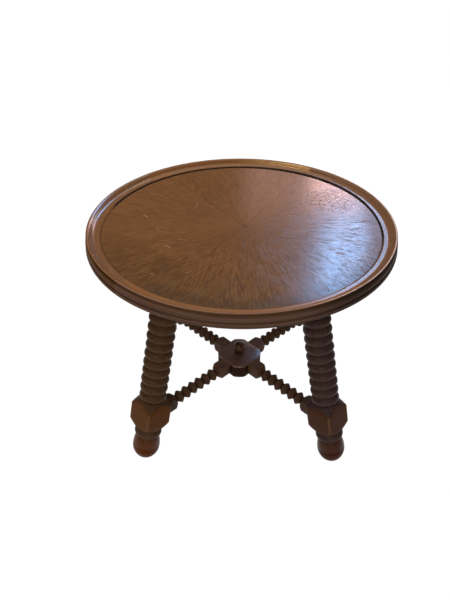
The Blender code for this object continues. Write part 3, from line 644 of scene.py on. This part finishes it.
def finial_finish():
    """Dark stain with painted shade round the foot, worn paler in patches on the ball."""
    wood = Finish("finial_dark_stain", FINIAL_GROUND, 0.28)
    grain = wood.noise((300, 300, 40), detail=4, twist=0.6)
    patches = wood.noise((90, 90, 90))
    height = wood.parts(wood.place)[2]
    wood.layer(wood.rise(grain, 0.42, 0.7, 0.75), FINIAL_GRAIN)
    # Painted shade round the foot, under the ball.
    wood.layer(wood.rise(height, 7 * MM, 3 * MM, 0.8), FINIAL_FOOT_SHADE)
    wood.layer(wood.rise(patches, 0.5, 0.7, 0.4), FINIAL_RUBBED)
    wood.polish(wood.rise(grain, 0.3, 0.7, 0.36, 0.22))
    wood.shine(0.2)
    wood.relief(grain, 0.06 * MM)
    return wood.done()


finial = lofted("turned_finial", [ring(radius, height) for radius, height in finial_rounds()])
finial_place = Matrix.Translation((0, 0, HUB_MIDDLE + HUB_HALF))
place_piece(finial, finial_place, finial_finish(), "finial_wood", "hub_finial")

# Rim: four sawn and moulded hardwood segments round the core board, butted on the diagonals and glued over
# its tongue. Inside, a rounded ledge and an ogee rise to the lip; outside are a hollow, ovolo and bead.
FIELD_RADIUS = 297 * MM
RIM_FACE = 325.5 * MM
RIM_BOTTOM = -TOP_THICKNESS
GROOVE_DEPTH = 8 * MM
GROOVE_TOP = -7.95 * MM
GROOVE_BOTTOM = -14.55 * MM
RIM_STEPS = 240
EVERYWHERE = (-0.40, -0.30)
NOWHERE = (0.30, 0.40)
# Painted light and shade per side: the right's outside darker, the front's paler and bluer, the right lip
# paler.
RIM_SIDES = {
    "right": dict(
        ground=(0.172, 0.090, 0.050), streak=(0.098, 0.046, 0.024), outside=(0.050, 0.032, 0.026),
        lip_wear_and_highlight=(0.70, 0.54, 0.53), gloss=0.26, worn=0.9,
        grime_and_shade_run=(-110 * MM, -30 * MM), wide_run=(0.0, 200 * MM),
    ),
    "back": dict(
        ground=(0.200, 0.086, 0.028), streak=(0.105, 0.042, 0.013), outside=(0.110, 0.050, 0.020),
        lip_wear_and_highlight=(0.22, 0.11, 0.050), gloss=0.26, worn=0.6, highlight_share=0.8,
        grime_and_shade_run=EVERYWHERE, wide_run=(50 * MM, -200 * MM),
    ),
    "left": dict(
        ground=(0.185, 0.088, 0.038), streak=(0.098, 0.044, 0.018), outside=(0.110, 0.050, 0.018),
        lip_wear_and_highlight=(0.24, 0.12, 0.050), gloss=0.17, grime_and_shade_run=(-60 * MM, -95 * MM),
    ),
    "front": dict(
        ground=(0.225, 0.097, 0.031), streak=(0.118, 0.048, 0.014), outside=(0.156, 0.092, 0.070),
        lip_wear_and_highlight=(0.55, 0.38, 0.32), gloss=0.24, shaded=1.0, lip_run=(60 * MM, 180 * MM),
    ),
}
RIM_PORE = (0.030, 0.013, 0.006)
CUTTER_LINE = (0.040, 0.016, 0.006)
HOLLOW_SHADE = (0.60, 0.47, 0.26)
OVOLO_FOOT_SHADE = (0.64, 0.62, 0.62)
LOW_BEAD_SHADE = (0.68, 0.66, 0.66)
CORNER_SHADE = (0.38, 0.42, 0.46)
RIM_FOOT_SHADE = (0.014, 0.007, 0.004)
SLOPE_HIGHLIGHT = (0.48, 0.28, 0.12)
BESIDE_SLOPE_HIGHLIGHT = (0.070, 0.034, 0.018)
LEDGE_GRIME_AND_SHADE = (0.014, 0.008, 0.005)
BELOW_LIP = (12.4 * MM, 11.6 * MM)


def bowed(start, end, rise, steps):
    """Points after start on a circular arc to end that bows to the left of its way by rise."""
    start = Vector(start)
    end = Vector(end)
    chord = end - start
    left = Vector((-chord.y, chord.x)).normalized()
    radius = (chord.length_squared / 4 + rise * rise) / (2 * rise)
    centre = (start + end) / 2 + left * (rise - radius)
    sweep = -math.copysign(2 * math.asin(chord.length / (2 * abs(radius))), rise)
    turns = [Matrix.Rotation(sweep * step / steps, 2) for step in range(1, steps + 1)]
    return [tuple(centre + turn @ (start - centre)) for turn in turns]


def rim_section():
    """The rim's section as (radius, height above the field), up the inside and down the outside."""
    groove_back = FIELD_RADIUS + GROOVE_DEPTH
    ledge_foot = (FIELD_RADIUS, 0.1 * MM)
    ledge_start = (FIELD_RADIUS + 4 * MM, 2.0 * MM)
    ledge_end = (FIELD_RADIUS + 10.6 * MM, 2.25 * MM)
    ogee_middle = (FIELD_RADIUS + 18.6 * MM, 6.4 * MM)
    lip_inside = (FIELD_RADIUS + 26.4 * MM, 12.95 * MM)
    lip_outside = (FIELD_RADIUS + 29.7 * MM, 11.8 * MM)
    ovolo_top = (RIM_FACE, 5.4 * MM)
    ovolo_foot = (RIM_FACE + 2.0 * MM, -6.6 * MM)
    quirk = (RIM_FACE + 1.3 * MM, -6.95 * MM)
    bead_top = (RIM_FACE + 2.0 * MM, -7.3 * MM)
    bead_foot = (RIM_FACE + 0.6 * MM, -19.9 * MM)
    return [
        (FIELD_RADIUS, RIM_BOTTOM),
        (FIELD_RADIUS, GROOVE_BOTTOM),
        (groove_back, GROOVE_BOTTOM),
        (groove_back, GROOVE_TOP),
        (FIELD_RADIUS, GROOVE_TOP),
        ledge_foot,
        *bowed(ledge_foot, ledge_start, 0.7 * MM, 6),
        *bowed(ledge_start, ledge_end, 0.05 * MM, 4),
        *bowed(ledge_end, ogee_middle, -0.55 * MM, 10),
        *bowed(ogee_middle, lip_inside, 0.55 * MM, 10),
        *bowed(lip_inside, lip_outside, 0.757 * MM, 8),
        *bowed(lip_outside, ovolo_top, -2.4 * MM, 12),
        *bowed(ovolo_top, ovolo_foot, 2.3 * MM, 12),
        quirk,
        bead_top,
        *bowed(bead_top, bead_foot, 3.2 * MM, 14),
        (RIM_FACE, RIM_BOTTOM),
    ]


def rim_rings():
    """One segment's sections, swept round its quarter of the table less half a joint at each end."""
    out, height = np.array(rim_section()).T
    sweep = math.pi / 2 - JOINT_GAP / FIELD_RADIUS
    return [np.stack([out * math.cos(angle), out * math.sin(angle), height], axis=1)
            for angle in np.linspace(-sweep / 2, sweep / 2, RIM_STEPS + 1)]


def stain_outside(wood, outer, aside, height, outside, shaded):
    """The outside's stain, cutter lines, and painted shade in the hollow, along the mouldings and at one
    end.
    """
    cutter_lines = wood.noise((4, 4, 700), detail=1)
    wood.layer(wood.times(outer, 0.85), outside)
    wood.layer(wood.times(outer, wood.rise(cutter_lines, 0.48, 0.62, 0.6)), CUTTER_LINE)
    # Painted shade in the hollow under the lip.
    hollow = wood.times(outer, wood.band(height, (4.8 * MM, 6.0 * MM), BELOW_LIP))
    wood.layer(hollow, outside)
    wood.tint(hollow, HOLLOW_SHADE)
    # Painted shade in bands along the ovolo's foot, the lower bead and the rim's foot.
    wood.tint(wood.band(height, (-3.0 * MM, -4.6 * MM), (-10.4 * MM, -9.0 * MM)), OVOLO_FOOT_SHADE)
    # Painted shade on the outside towards the segment's end, in the share that shaded gives.
    wood.tint(wood.times(outer, wood.rise(aside, 70 * MM, 220 * MM, shaded)), CORNER_SHADE)
    wood.tint(wood.rise(height, -13.0 * MM, -14.2 * MM), LOW_BEAD_SHADE)
    wood.layer(wood.rise(height, -18.5 * MM, -20.5 * MM, 0.8), RIM_FOOT_SHADE)


def paint_slope_highlight(wood, outer, aside, height, grain, highlight_share):
    """A painted highlight in pale streaks on a stretch of the inner slope, and darker wood beside it."""
    inside = wood.rise(outer, 1.0, 0.0)
    slope = wood.times(wood.band(height, (4.0 * MM, 6.5 * MM), BELOW_LIP), inside)
    pale_end = wood.band(aside, (30 * MM, -100 * MM), (-175 * MM, -166 * MM))
    pale_streaks = wood.times(pale_end, wood.rise(grain, 0.62, 0.38, highlight_share, highlight_share * 0.4))
    # Painted highlight in pale streaks on the slope.
    wood.layer(wood.times(slope, pale_streaks), SLOPE_HIGHLIGHT)
    dark_end = wood.times(slope, wood.rise(aside, -166 * MM, -175 * MM, highlight_share * 0.6))
    wood.layer(dark_end, BESIDE_SLOPE_HIGHLIGHT)


def rim_finish(side, ground, streak, outside, lip_wear_and_highlight, gloss, worn=0.0, shaded=0.0, highlight_share=0.0,
               lip_run=EVERYWHERE, grime_and_shade_run=NOWHERE, wide_run=NOWHERE):
    """Walnut-stained rim: straight grain, grime and painted shade at the ledge, a worn lip with painted
    highlight.
    """
    wood = Finish(f"rim_stain_{side}", ground, 0.26)
    aside, height = wood.parts(wood.place)[1:]
    out = wood.from_axis()
    outer = wood.rise(wood.maths("SUBTRACT", out, wood.times(height, 0.55)), 317.0 * MM, 317.7 * MM)
    grain = wood.noise((330, 9, 330), detail=2, twist=0.4)
    pores = wood.noise((1300, 50, 1300), detail=2)
    bands = wood.noise((50, 5, 50))
    dents = wood.noise((130, 130, 130))
    off_ledge = wood.rise(height, 2.2 * MM, 3.4 * MM, 1.0, 0.25)
    wood.layer(wood.times(off_ledge, wood.rise(grain, 0.42, 0.72, 0.5)), streak)
    wood.layer(wood.rise(bands, 0.48, 0.75, 0.4), tuple(shade * 1.3 for shade in ground))
    wood.layer(wood.rise(pores, 0.58, 0.74, 0.15), RIM_PORE)
    stain_outside(wood, outer, aside, height, outside, shaded)
    paint_slope_highlight(wood, outer, aside, height, grain, highlight_share)
    # Grime and painted shade: the dark line at the ledge's foot is widened and strengthened on the shaded
    # sides.
    widening = wood.rise(aside, *wide_run, 4.2 * MM)
    corner = wood.rise(wood.maths("SUBTRACT", out, widening), 301.2 * MM, 300.3 * MM)
    wood.layer(wood.times(corner, wood.rise(aside, *grime_and_shade_run, 0.95, 0.25)), LEDGE_GRIME_AND_SHADE)
    # The lip worn pale, and partly a painted highlight, palest on the right.
    lip = wood.times(wood.rise(height, 12.6 * MM, 13.2 * MM), wood.rise(dents, 0.3, 0.6, 0.85, 0.60))
    wood.layer(wood.times(lip, wood.rise(aside, *lip_run, 1.0, 0.2)), lip_wear_and_highlight)
    rough = wood.larger(wood.times(outer, 0.5), wood.times(corner, 0.7))
    wood.polish(wood.larger(wood.rise(bands, 0.3, 0.7, gloss + 0.03, gloss), rough))
    dull = wood.larger(wood.larger(outer, corner), wood.rise(height, 2.5 * MM, 3.2 * MM, worn))
    wood.shine(wood.rise(dull, 0.0, 1.0, 0.05, 0.5))
    return wood.done()


rim_sections = rim_rings()
for number, (side, stain) in enumerate(RIM_SIDES.items()):
    segment = lofted(f"moulded_rim_{side}", rim_sections, 30)
    turn = Matrix.Translation((0, 0, FIELD_LEVEL)) @ Matrix.Rotation(number * math.pi / 2, 4, "Z")
    place_piece(segment, turn, rim_finish(side, **stain), "rim_wood", f"rim_{side}")

# Sunburst veneer: sixteen walnut leaves laid as a radial fan on the core board, glued edge to edge and
# polished. The fan's point lies a little right of the middle, and the right side has opened pores and
# cracked polish. Scratches are given from a start to an end on the field, with their strength.
LEAVES = 16
FIRST_SEAM = math.radians(15)
LEAF_EDGE = FIELD_RADIUS - JOINT_GAP
LEAF_POINT = 0.6 * MM
LEAF_SEAM = 0.01 * MM
LEAF_BACK = -1.2 * MM
LEAF_ARC_STEPS = 24
LEAF_GRAIN_SHIFT = 1.7
SUNBURST = np.array([9 * MM, -3.5 * MM])
LEAF_TONES = [0.42, 0.40, 0.50, 0.38, 0.26, 0.46, 0.50, 0.52, 0.40, 0.15, 0.36, 0.32, 0.40, 0.38, 0.40, 0.38]
OLD_SCRATCHES = [
    ((-0.216, 0.044), (-0.203, 0.031), 0.9),
    ((-0.155, -0.085), (-0.1415, -0.093), 0.8),
    ((-0.099, 0.104), (-0.103, 0.077), 0.5),
    ((-0.171, -0.187), (-0.165, -0.190), 0.7),
    ((-0.106, -0.183), (-0.099, -0.182), 0.5),
    ((-0.121, 0.185), (-0.113, 0.175), 0.4),
    ((-0.1795, -0.016), (-0.173, -0.027), 0.45),
    ((-0.128, -0.060), (-0.119, -0.0615), 0.4),
    ((0.170, 0.101), (0.184, 0.070), 0.5),
    ((0.214, 0.025), (0.247, 0.055), 0.4),
    ((0.0085, -0.003), (0.0092, -0.0036), 0.8),
]
LEAF_BROWN = (0.160, 0.070, 0.021)
PALE_LEAF = (0.204, 0.093, 0.034)
DARK_BAND = (0.105, 0.043, 0.015)
DARK_STREAK = (0.070, 0.027, 0.009)
LIGHT_STREAK = (0.270, 0.128, 0.046)
BROWN_CLOUD = (0.120, 0.050, 0.019)
FRONT_LEFT_SHADE = (0.80, 0.82, 0.74)
FRONT_EDGE_SHADE = (0.70, 0.73, 0.78)
OPEN_PORE = (0.045, 0.018, 0.008)
POLISH_CRACK = (0.050, 0.022, 0.012)
SCRATCHED_WOOD = (0.42, 0.28, 0.17)
SEAM_GLUE = (0.045, 0.020, 0.010)
EDGE_GRIME_AND_SHADE = (0.018, 0.009, 0.005)
OPENED_MIDDLE = (190 * MM, -90 * MM, 0)
CRACKED_MIDDLE = (205 * MM, 120 * MM, 0)
CRACKS_PER_METRE = 85.0
CRACK_BEND = (11 * MM, 11 * MM, 0)


def leaf_outline(number):
    """One leaf's outline, its arc and the fan's point, and the ways of its two seams."""
    angles = FIRST_SEAM + math.tau / LEAVES * (number + np.linspace(0, 1, LEAF_ARC_STEPS + 1))
    arc_points = LEAF_EDGE * np.stack([np.cos(angles), np.sin(angles)], axis=1)
    first = (arc_points[0] - SUNBURST) / np.linalg.norm(arc_points[0] - SUNBURST)
    last = (arc_points[-1] - SUNBURST) / np.linalg.norm(arc_points[-1] - SUNBURST)
    arc_points[0] += np.array([-first[1], first[0]]) * LEAF_SEAM
    arc_points[-1] += np.array([last[1], -last[0]]) * LEAF_SEAM
    point = SUNBURST + (first + last) * LEAF_POINT
    return np.concatenate([arc_points, [point]]), first, last


def leaf_piece(number):
    """One leaf with its grain's own way stored on it: along, across, and the distance to its two seams."""
    outline, first, last = leaf_outline(number)
    count = len(outline)
    tops = np.column_stack([outline, np.zeros(count)])
    backs = np.column_stack([outline, np.full(count, LEAF_BACK)])
    faces = [tuple(range(count)), tuple(range(2 * count - 1, count - 1, -1))]
    faces += [(step, count + step, count + (step + 1) % count, (step + 1) % count) for step in range(count)]
    mesh = bpy.data.meshes.new(f"sunburst_leaf_{number + 1:02d}")
    mesh.from_pydata(np.concatenate([tops, backs]).tolist(), [], faces)
    middle = (first + last) / np.linalg.norm(first + last)
    spots = np.tile(outline - SUNBURST, (2, 1))
    along = spots @ middle
    across = spots @ np.array([-middle[1], middle[0]])
    from_first = spots @ np.array([-first[1], first[0]])
    from_last = spots @ np.array([last[1], -last[0]])
    way = np.column_stack([along, across, np.full(2 * count, number * LEAF_GRAIN_SHIFT)])
    seams = np.column_stack([from_first, from_last, np.full(2 * count, LEAF_TONES[number])])
    for name, values in (("grain_way", way), ("seam_way", seams)):
        stored = mesh.attributes.new(name, "FLOAT_VECTOR", "POINT")
        stored.data.foreach_set("vector", values.astype(np.float32).ravel())
    piece = bpy.data.objects.new(mesh.name, mesh)
    bpy.context.scene.collection.objects.link(piece)
    return piece


def streak_leaves(wood, way, tone, streaks, flat, out):
    """Each leaf's tone, bands and streaks, liveliest at the front and away from the fan's point."""
    bands = wood.noise((12, 90, 1), way, twist=0.3)
    clouds = wood.noise((9, 9, 9))
    front = wood.rise(wood.toward(flat, (0.25, -0.97, 0)), -50 * MM, 150 * MM, 1.0, 0.6)
    lively = wood.times(front, wood.rise(out, 20 * MM, 140 * MM, 1.0, 0.15))
    wood.layer(wood.rise(tone, 0.15, 0.85, 0.9), PALE_LEAF)
    wood.layer(wood.times(lively, wood.rise(bands, 0.45, 0.70, 0.40)), DARK_BAND)
    wood.layer(wood.times(lively, wood.rise(streaks, 0.48, 0.66, 0.85)), DARK_STREAK)
    wood.layer(wood.times(lively, wood.rise(streaks, 0.50, 0.34, 0.75)), LIGHT_STREAK)
    wood.layer(wood.rise(clouds, 0.45, 0.70, 0.30), BROWN_CLOUD)


def paint_front_shade(wood, flat, out):
    """Painted shade at the front left and along the front edge."""
    front_left = wood.toward(flat, (-0.54, -0.84, 0))
    wood.tint(wood.rise(front_left, 150 * MM, 230 * MM), FRONT_LEFT_SHADE)
    front = wood.rise(wood.toward(flat, (0.2, -0.98, 0)), 150 * MM, 240 * MM)
    wood.tint(wood.times(front, wood.rise(out, 250 * MM, 285 * MM)), FRONT_EDGE_SHADE)


def open_pores(wood, way, flat):
    """Pores opened as dark dashes along the grain, mostly on the right; gives their lines."""
    pores = wood.noise((80, 560, 1), way, detail=2, coarse=0.6)
    dashes = wood.noise((30, 430, 1), way, detail=1)
    opened = wood.rise(wood.apart(flat, OPENED_MIDDLE), 250 * MM, 80 * MM, 1.0, 0.12)
    fine_and_long = wood.larger(wood.rise(pores, 0.50, 0.60, 0.6), wood.rise(dashes, 0.58, 0.61))
    pore_lines = wood.times(fine_and_long, opened)
    wood.layer(wood.times(pore_lines, 0.85), OPEN_PORE)
    return pore_lines


def crack_polish(wood, flat):
    """A net of fine cracks in the polish at the back right; gives its lines."""
    cracks = wood.node("ShaderNodeTexVoronoi", feature="DISTANCE_TO_EDGE")
    bend = wood.noise((70, 70, 70))
    bent = wood.vectors("ADD", flat, wood.vectors("SCALE", CRACK_BEND, (0, 0, 0), (0, 0, 0), bend))
    wood.feed([cracks.inputs["Vector"], cracks.inputs["Scale"]], [bent, CRACKS_PER_METRE])
    cracked = wood.rise(wood.apart(flat, CRACKED_MIDDLE), 75 * MM, 30 * MM)
    crack_lines = wood.times(wood.rise(cracks.outputs["Distance"], 0.05, 0.015), cracked)
    wood.layer(wood.times(crack_lines, 0.6), POLISH_CRACK)
    return crack_lines


def scratch(wood, flat, start, end, strength):
    """One short pale scratch that fades at both ends."""
    run = np.array(end) - np.array(start)
    gone = wood.vectors("SUBTRACT", flat, (*start, 0))
    share = wood.toward(gone, (*(run / (run @ run)), 0))
    nearest = wood.node("ShaderNodeVectorMath", operation="SCALE")
    wood.feed([nearest.inputs[0], nearest.inputs["Scale"]], [(*run, 0), wood.rise(share, -0.2, 1.2)])
    apart = wood.apart(gone, nearest.outputs[0])
    wood.layer(wood.rise(apart, 1.2 * MM, 0.4 * MM, strength), SCRATCHED_WOOD)


def veneer_finish():
    """Polished walnut veneer: streaked leaves, open pores, scratches, cracked polish, grime, painted shade.
    """
    wood = Finish("sunburst_walnut_veneer", LEAF_BROWN, 0.25)
    way = wood.node("ShaderNodeAttribute", attribute_name="grain_way").outputs["Vector"]
    seam_way = wood.node("ShaderNodeAttribute", attribute_name="seam_way").outputs["Vector"]
    from_first, from_last, tone = wood.parts(seam_way)
    flat = wood.flat_place()
    out = wood.from_axis()
    streaks = wood.noise((42, 480, 1), way, detail=4, coarse=0.65, twist=0.3)
    smears = wood.noise((26, 26, 26), detail=4)
    streak_leaves(wood, way, tone, streaks, flat, out)
    paint_front_shade(wood, flat, out)
    pore_lines = open_pores(wood, way, flat)
    crack_lines = crack_polish(wood, flat)
    for start, end, strength in OLD_SCRATCHES:
        scratch(wood, flat, start, end, strength)
    seam = wood.rise(wood.maths("MINIMUM", from_first, from_last), 0.3 * MM, 0.05 * MM, 0.03)
    wood.layer(seam, SEAM_GLUE)
    # Grime and painted shade: the field's edge darkened towards the back.
    back_side = wood.rise(wood.toward(flat, (0.5, 0.87, 0)), -110 * MM, -50 * MM, 0.8, 0.2)
    wood.layer(wood.times(wood.rise(out, 294.5 * MM, 296.2 * MM), back_side), EDGE_GRIME_AND_SHADE)
    smeared = wood.rise(smears, 0.3, 0.72, 0.22, 0.17)
    wood.polish(wood.maths("ADD", smeared, wood.times(pore_lines, 0.25)))
    right = wood.rise(wood.toward(flat, (0.9, -0.43, 0)), 180 * MM, 250 * MM)
    worn_edge = wood.times(right, wood.rise(out, 250 * MM, 290 * MM))
    wood.shine(wood.rise(worn_edge, 0.0, 1.0, 0.30, 0.5))
    wood.relief(wood.times(crack_lines, -1.0), 0.25 * MM)
    wood.relief(streaks, 0.006 * MM)
    return wood.done()


veneer = veneer_finish()
field_place = Matrix.Translation((0, 0, FIELD_LEVEL))
for number in range(LEAVES):
    place_piece(leaf_piece(number), field_place, veneer, "sunburst_veneer", f"veneer_leaf_{number + 1:02d}")

# Setting: a white floor that keeps only a trace of shadow, in a dim room that the camera sees as white. Soft
# lamps hang overhead, stand high and low in front, and behind on the right, where the polished top mirrors
# them in cool and rosy light. The camera stands as it did for the photo.
FLOOR_HALF = 9.0
FLOOR_GREY = (0.75, 0.75, 0.75)
FLOOR_GLOW = 1.05
FLOOR_GLOW_SHARE = 0.96
ROOM_COLOUR = (1.0, 0.95, 0.92, 1)
ROOM_LEVEL = 0.09
WHITE = (1, 1, 1, 1)
TABLE_MIDDLE = (0, 0, FIELD_LEVEL)
LAMP_DISTANCE = 2.5
CAMERA_LENS = 35.5945
CAMERA_SENSOR = 36
CAMERA_PLACE = (0, -1.11949, 1.12102)
CAMERA_PITCH = 0.63827
CAMERA_YAW = 0.0313
CAMERA_ROLL = -0.0069


def white_paper():
    """Paper that the camera and mirrors see as nearly even white, with a trace of shadow."""
    paper = Finish("white_floor_paper", FLOOR_GREY, 1.0)
    ray = paper.node("ShaderNodeLightPath").outputs
    seen = paper.larger(ray["Is Camera Ray"], ray["Is Glossy Ray"])
    seen_through = paper.larger(seen, ray["Is Transmission Ray"])
    face = paper.node("ShaderNodeBsdfDiffuse")
    paper.feed([face.inputs["Color"]], [paper.colour])
    glow = paper.node("ShaderNodeEmission")
    paper.feed([glow.inputs["Strength"]], [FLOOR_GLOW])
    mix = paper.node("ShaderNodeMixShader")
    paper.feed(mix.inputs, [paper.times(seen_through, FLOOR_GLOW_SHARE), face.outputs[0], glow.outputs[0]])
    paper.tree.nodes.remove(paper.shader)
    paper.feed([paper.tree.nodes["Material Output"].inputs["Surface"]], [mix.outputs[0]])
    return paper.material


def dim_room():
    """A dim room all round that the camera alone sees as white."""
    room = bpy.data.worlds.new("studio")
    room.use_nodes = True
    air = room.node_tree
    dim_walls = air.nodes["Background"]
    dim_walls.inputs["Color"].default_value = ROOM_COLOUR
    dim_walls.inputs["Strength"].default_value = ROOM_LEVEL
    white_walls = air.nodes.new("ShaderNodeBackground")
    white_walls.inputs["Color"].default_value = WHITE
    ray = air.nodes.new("ShaderNodeLightPath")
    walls = air.nodes.new("ShaderNodeMixShader")
    air.links.new(ray.outputs["Is Camera Ray"], walls.inputs[0])
    air.links.new(dim_walls.outputs[0], walls.inputs[1])
    air.links.new(white_walls.outputs[0], walls.inputs[2])
    air.links.new(walls.outputs[0], air.nodes["World Output"].inputs["Surface"])
    return room


def soft_light(name, place, aim, width, height, colour, radiance):
    """A flat lamp with an even face, at a place, facing a point."""
    lamp = bpy.data.lights.new(name, "AREA")
    lamp.shape = "RECTANGLE"
    lamp.size = width
    lamp.size_y = height
    lamp.color = colour
    lamp.energy = radiance * math.pi * width * height
    light = bpy.data.objects.new(name, lamp)
    bpy.context.scene.collection.objects.link(light)
    light.location = place
    light.rotation_euler = (Vector(aim) - Vector(place)).to_track_quat("-Z", "Y").to_euler()


def behind_light(name, azimuth_right, elevation, width, height, colour, radiance):
    """A lamp behind the table: degrees right of straight behind and up, from the middle of the top."""
    turn = math.radians(azimuth_right)
    lift = math.radians(elevation)
    place = (LAMP_DISTANCE * math.sin(turn) * math.cos(lift),
             LAMP_DISTANCE * math.cos(turn) * math.cos(lift),
             FIELD_LEVEL + LAMP_DISTANCE * math.sin(lift))
    soft_light(name, place, TABLE_MIDDLE, width, height, colour, radiance)


def photo_camera():
    """A camera with the photo's lens, at the photo's place."""
    data = bpy.data.cameras.new("photo_camera")
    data.lens = CAMERA_LENS
    data.sensor_width = CAMERA_SENSOR
    camera = bpy.data.objects.new("photo_camera", data)
    bpy.context.scene.collection.objects.link(camera)
    about = Matrix.Rotation(CAMERA_YAW, 3, "Z")
    forward = about @ Vector((0, math.cos(CAMERA_PITCH), -math.sin(CAMERA_PITCH)))
    upward = about @ Vector((0, math.sin(CAMERA_PITCH), math.cos(CAMERA_PITCH)))
    rightward = about @ Vector((1, 0, 0))
    right_side = math.cos(CAMERA_ROLL) * rightward + math.sin(CAMERA_ROLL) * upward
    up_side = math.cos(CAMERA_ROLL) * upward - math.sin(CAMERA_ROLL) * rightward
    turned = Matrix((right_side, up_side, -forward)).transposed().to_4x4()
    camera.matrix_world = Matrix.Translation(CAMERA_PLACE) @ turned
    return camera


floor_mesh = bpy.data.meshes.new("studio_floor")
floor_mesh.from_pydata([(-FLOOR_HALF, -FLOOR_HALF, 0), (FLOOR_HALF, -FLOOR_HALF, 0),
                        (FLOOR_HALF, FLOOR_HALF, 0), (-FLOOR_HALF, FLOOR_HALF, 0)], [], [(0, 1, 2, 3)])
floor = bpy.data.objects.new("studio_floor", floor_mesh)
bpy.context.scene.collection.objects.link(floor)
floor_mesh.materials.append(white_paper())
bpy.context.scene.world = dim_room()
soft_light("overhead_softbox", (-0.6, 1.1, 2.6), (-0.6, 1.1, 0), 3.2, 1.9, (1.0, 0.93, 0.81), 2.3)
soft_light("warm_ceiling_lamp", (-0.64, 0.2, 2.7), TABLE_MIDDLE, 0.4, 0.28, (1.0, 0.74, 0.40), 40.0)
soft_light("small_front_lamp", (0.1, -3.0, 0.98), (0, 0, 0.2), 0.4, 0.3, (1.0, 0.95, 0.90), 20.0)
soft_light("front_softbox", (-0.5, -2.3, 2.1), (0, 0, 0.3), 1.8, 0.76, (1.0, 0.92, 0.84), 5.4)
behind_light("cool_window", 17.4, 34.0, 0.26, 0.60, (0.26, 0.54, 1.0), 20.0)
behind_light("window_side", 26, 33.2, 0.48, 0.66, (0.50, 0.60, 1.0), 1.7)
behind_light("rosy_sill", 15.0, 21.6, 0.32, 0.24, (1.0, 0.63, 0.60), 14.0)
behind_light("wall_by_window", 6, 24, 0.44, 0.44, (1.0, 0.66, 0.62), 1.3)
behind_light("low_window", 31, 11, 0.9, 0.7, (0.86, 0.92, 1.0), 3.5)
bpy.context.scene.camera = photo_camera()
bpy.context.scene.view_settings.view_transform = "Standard"
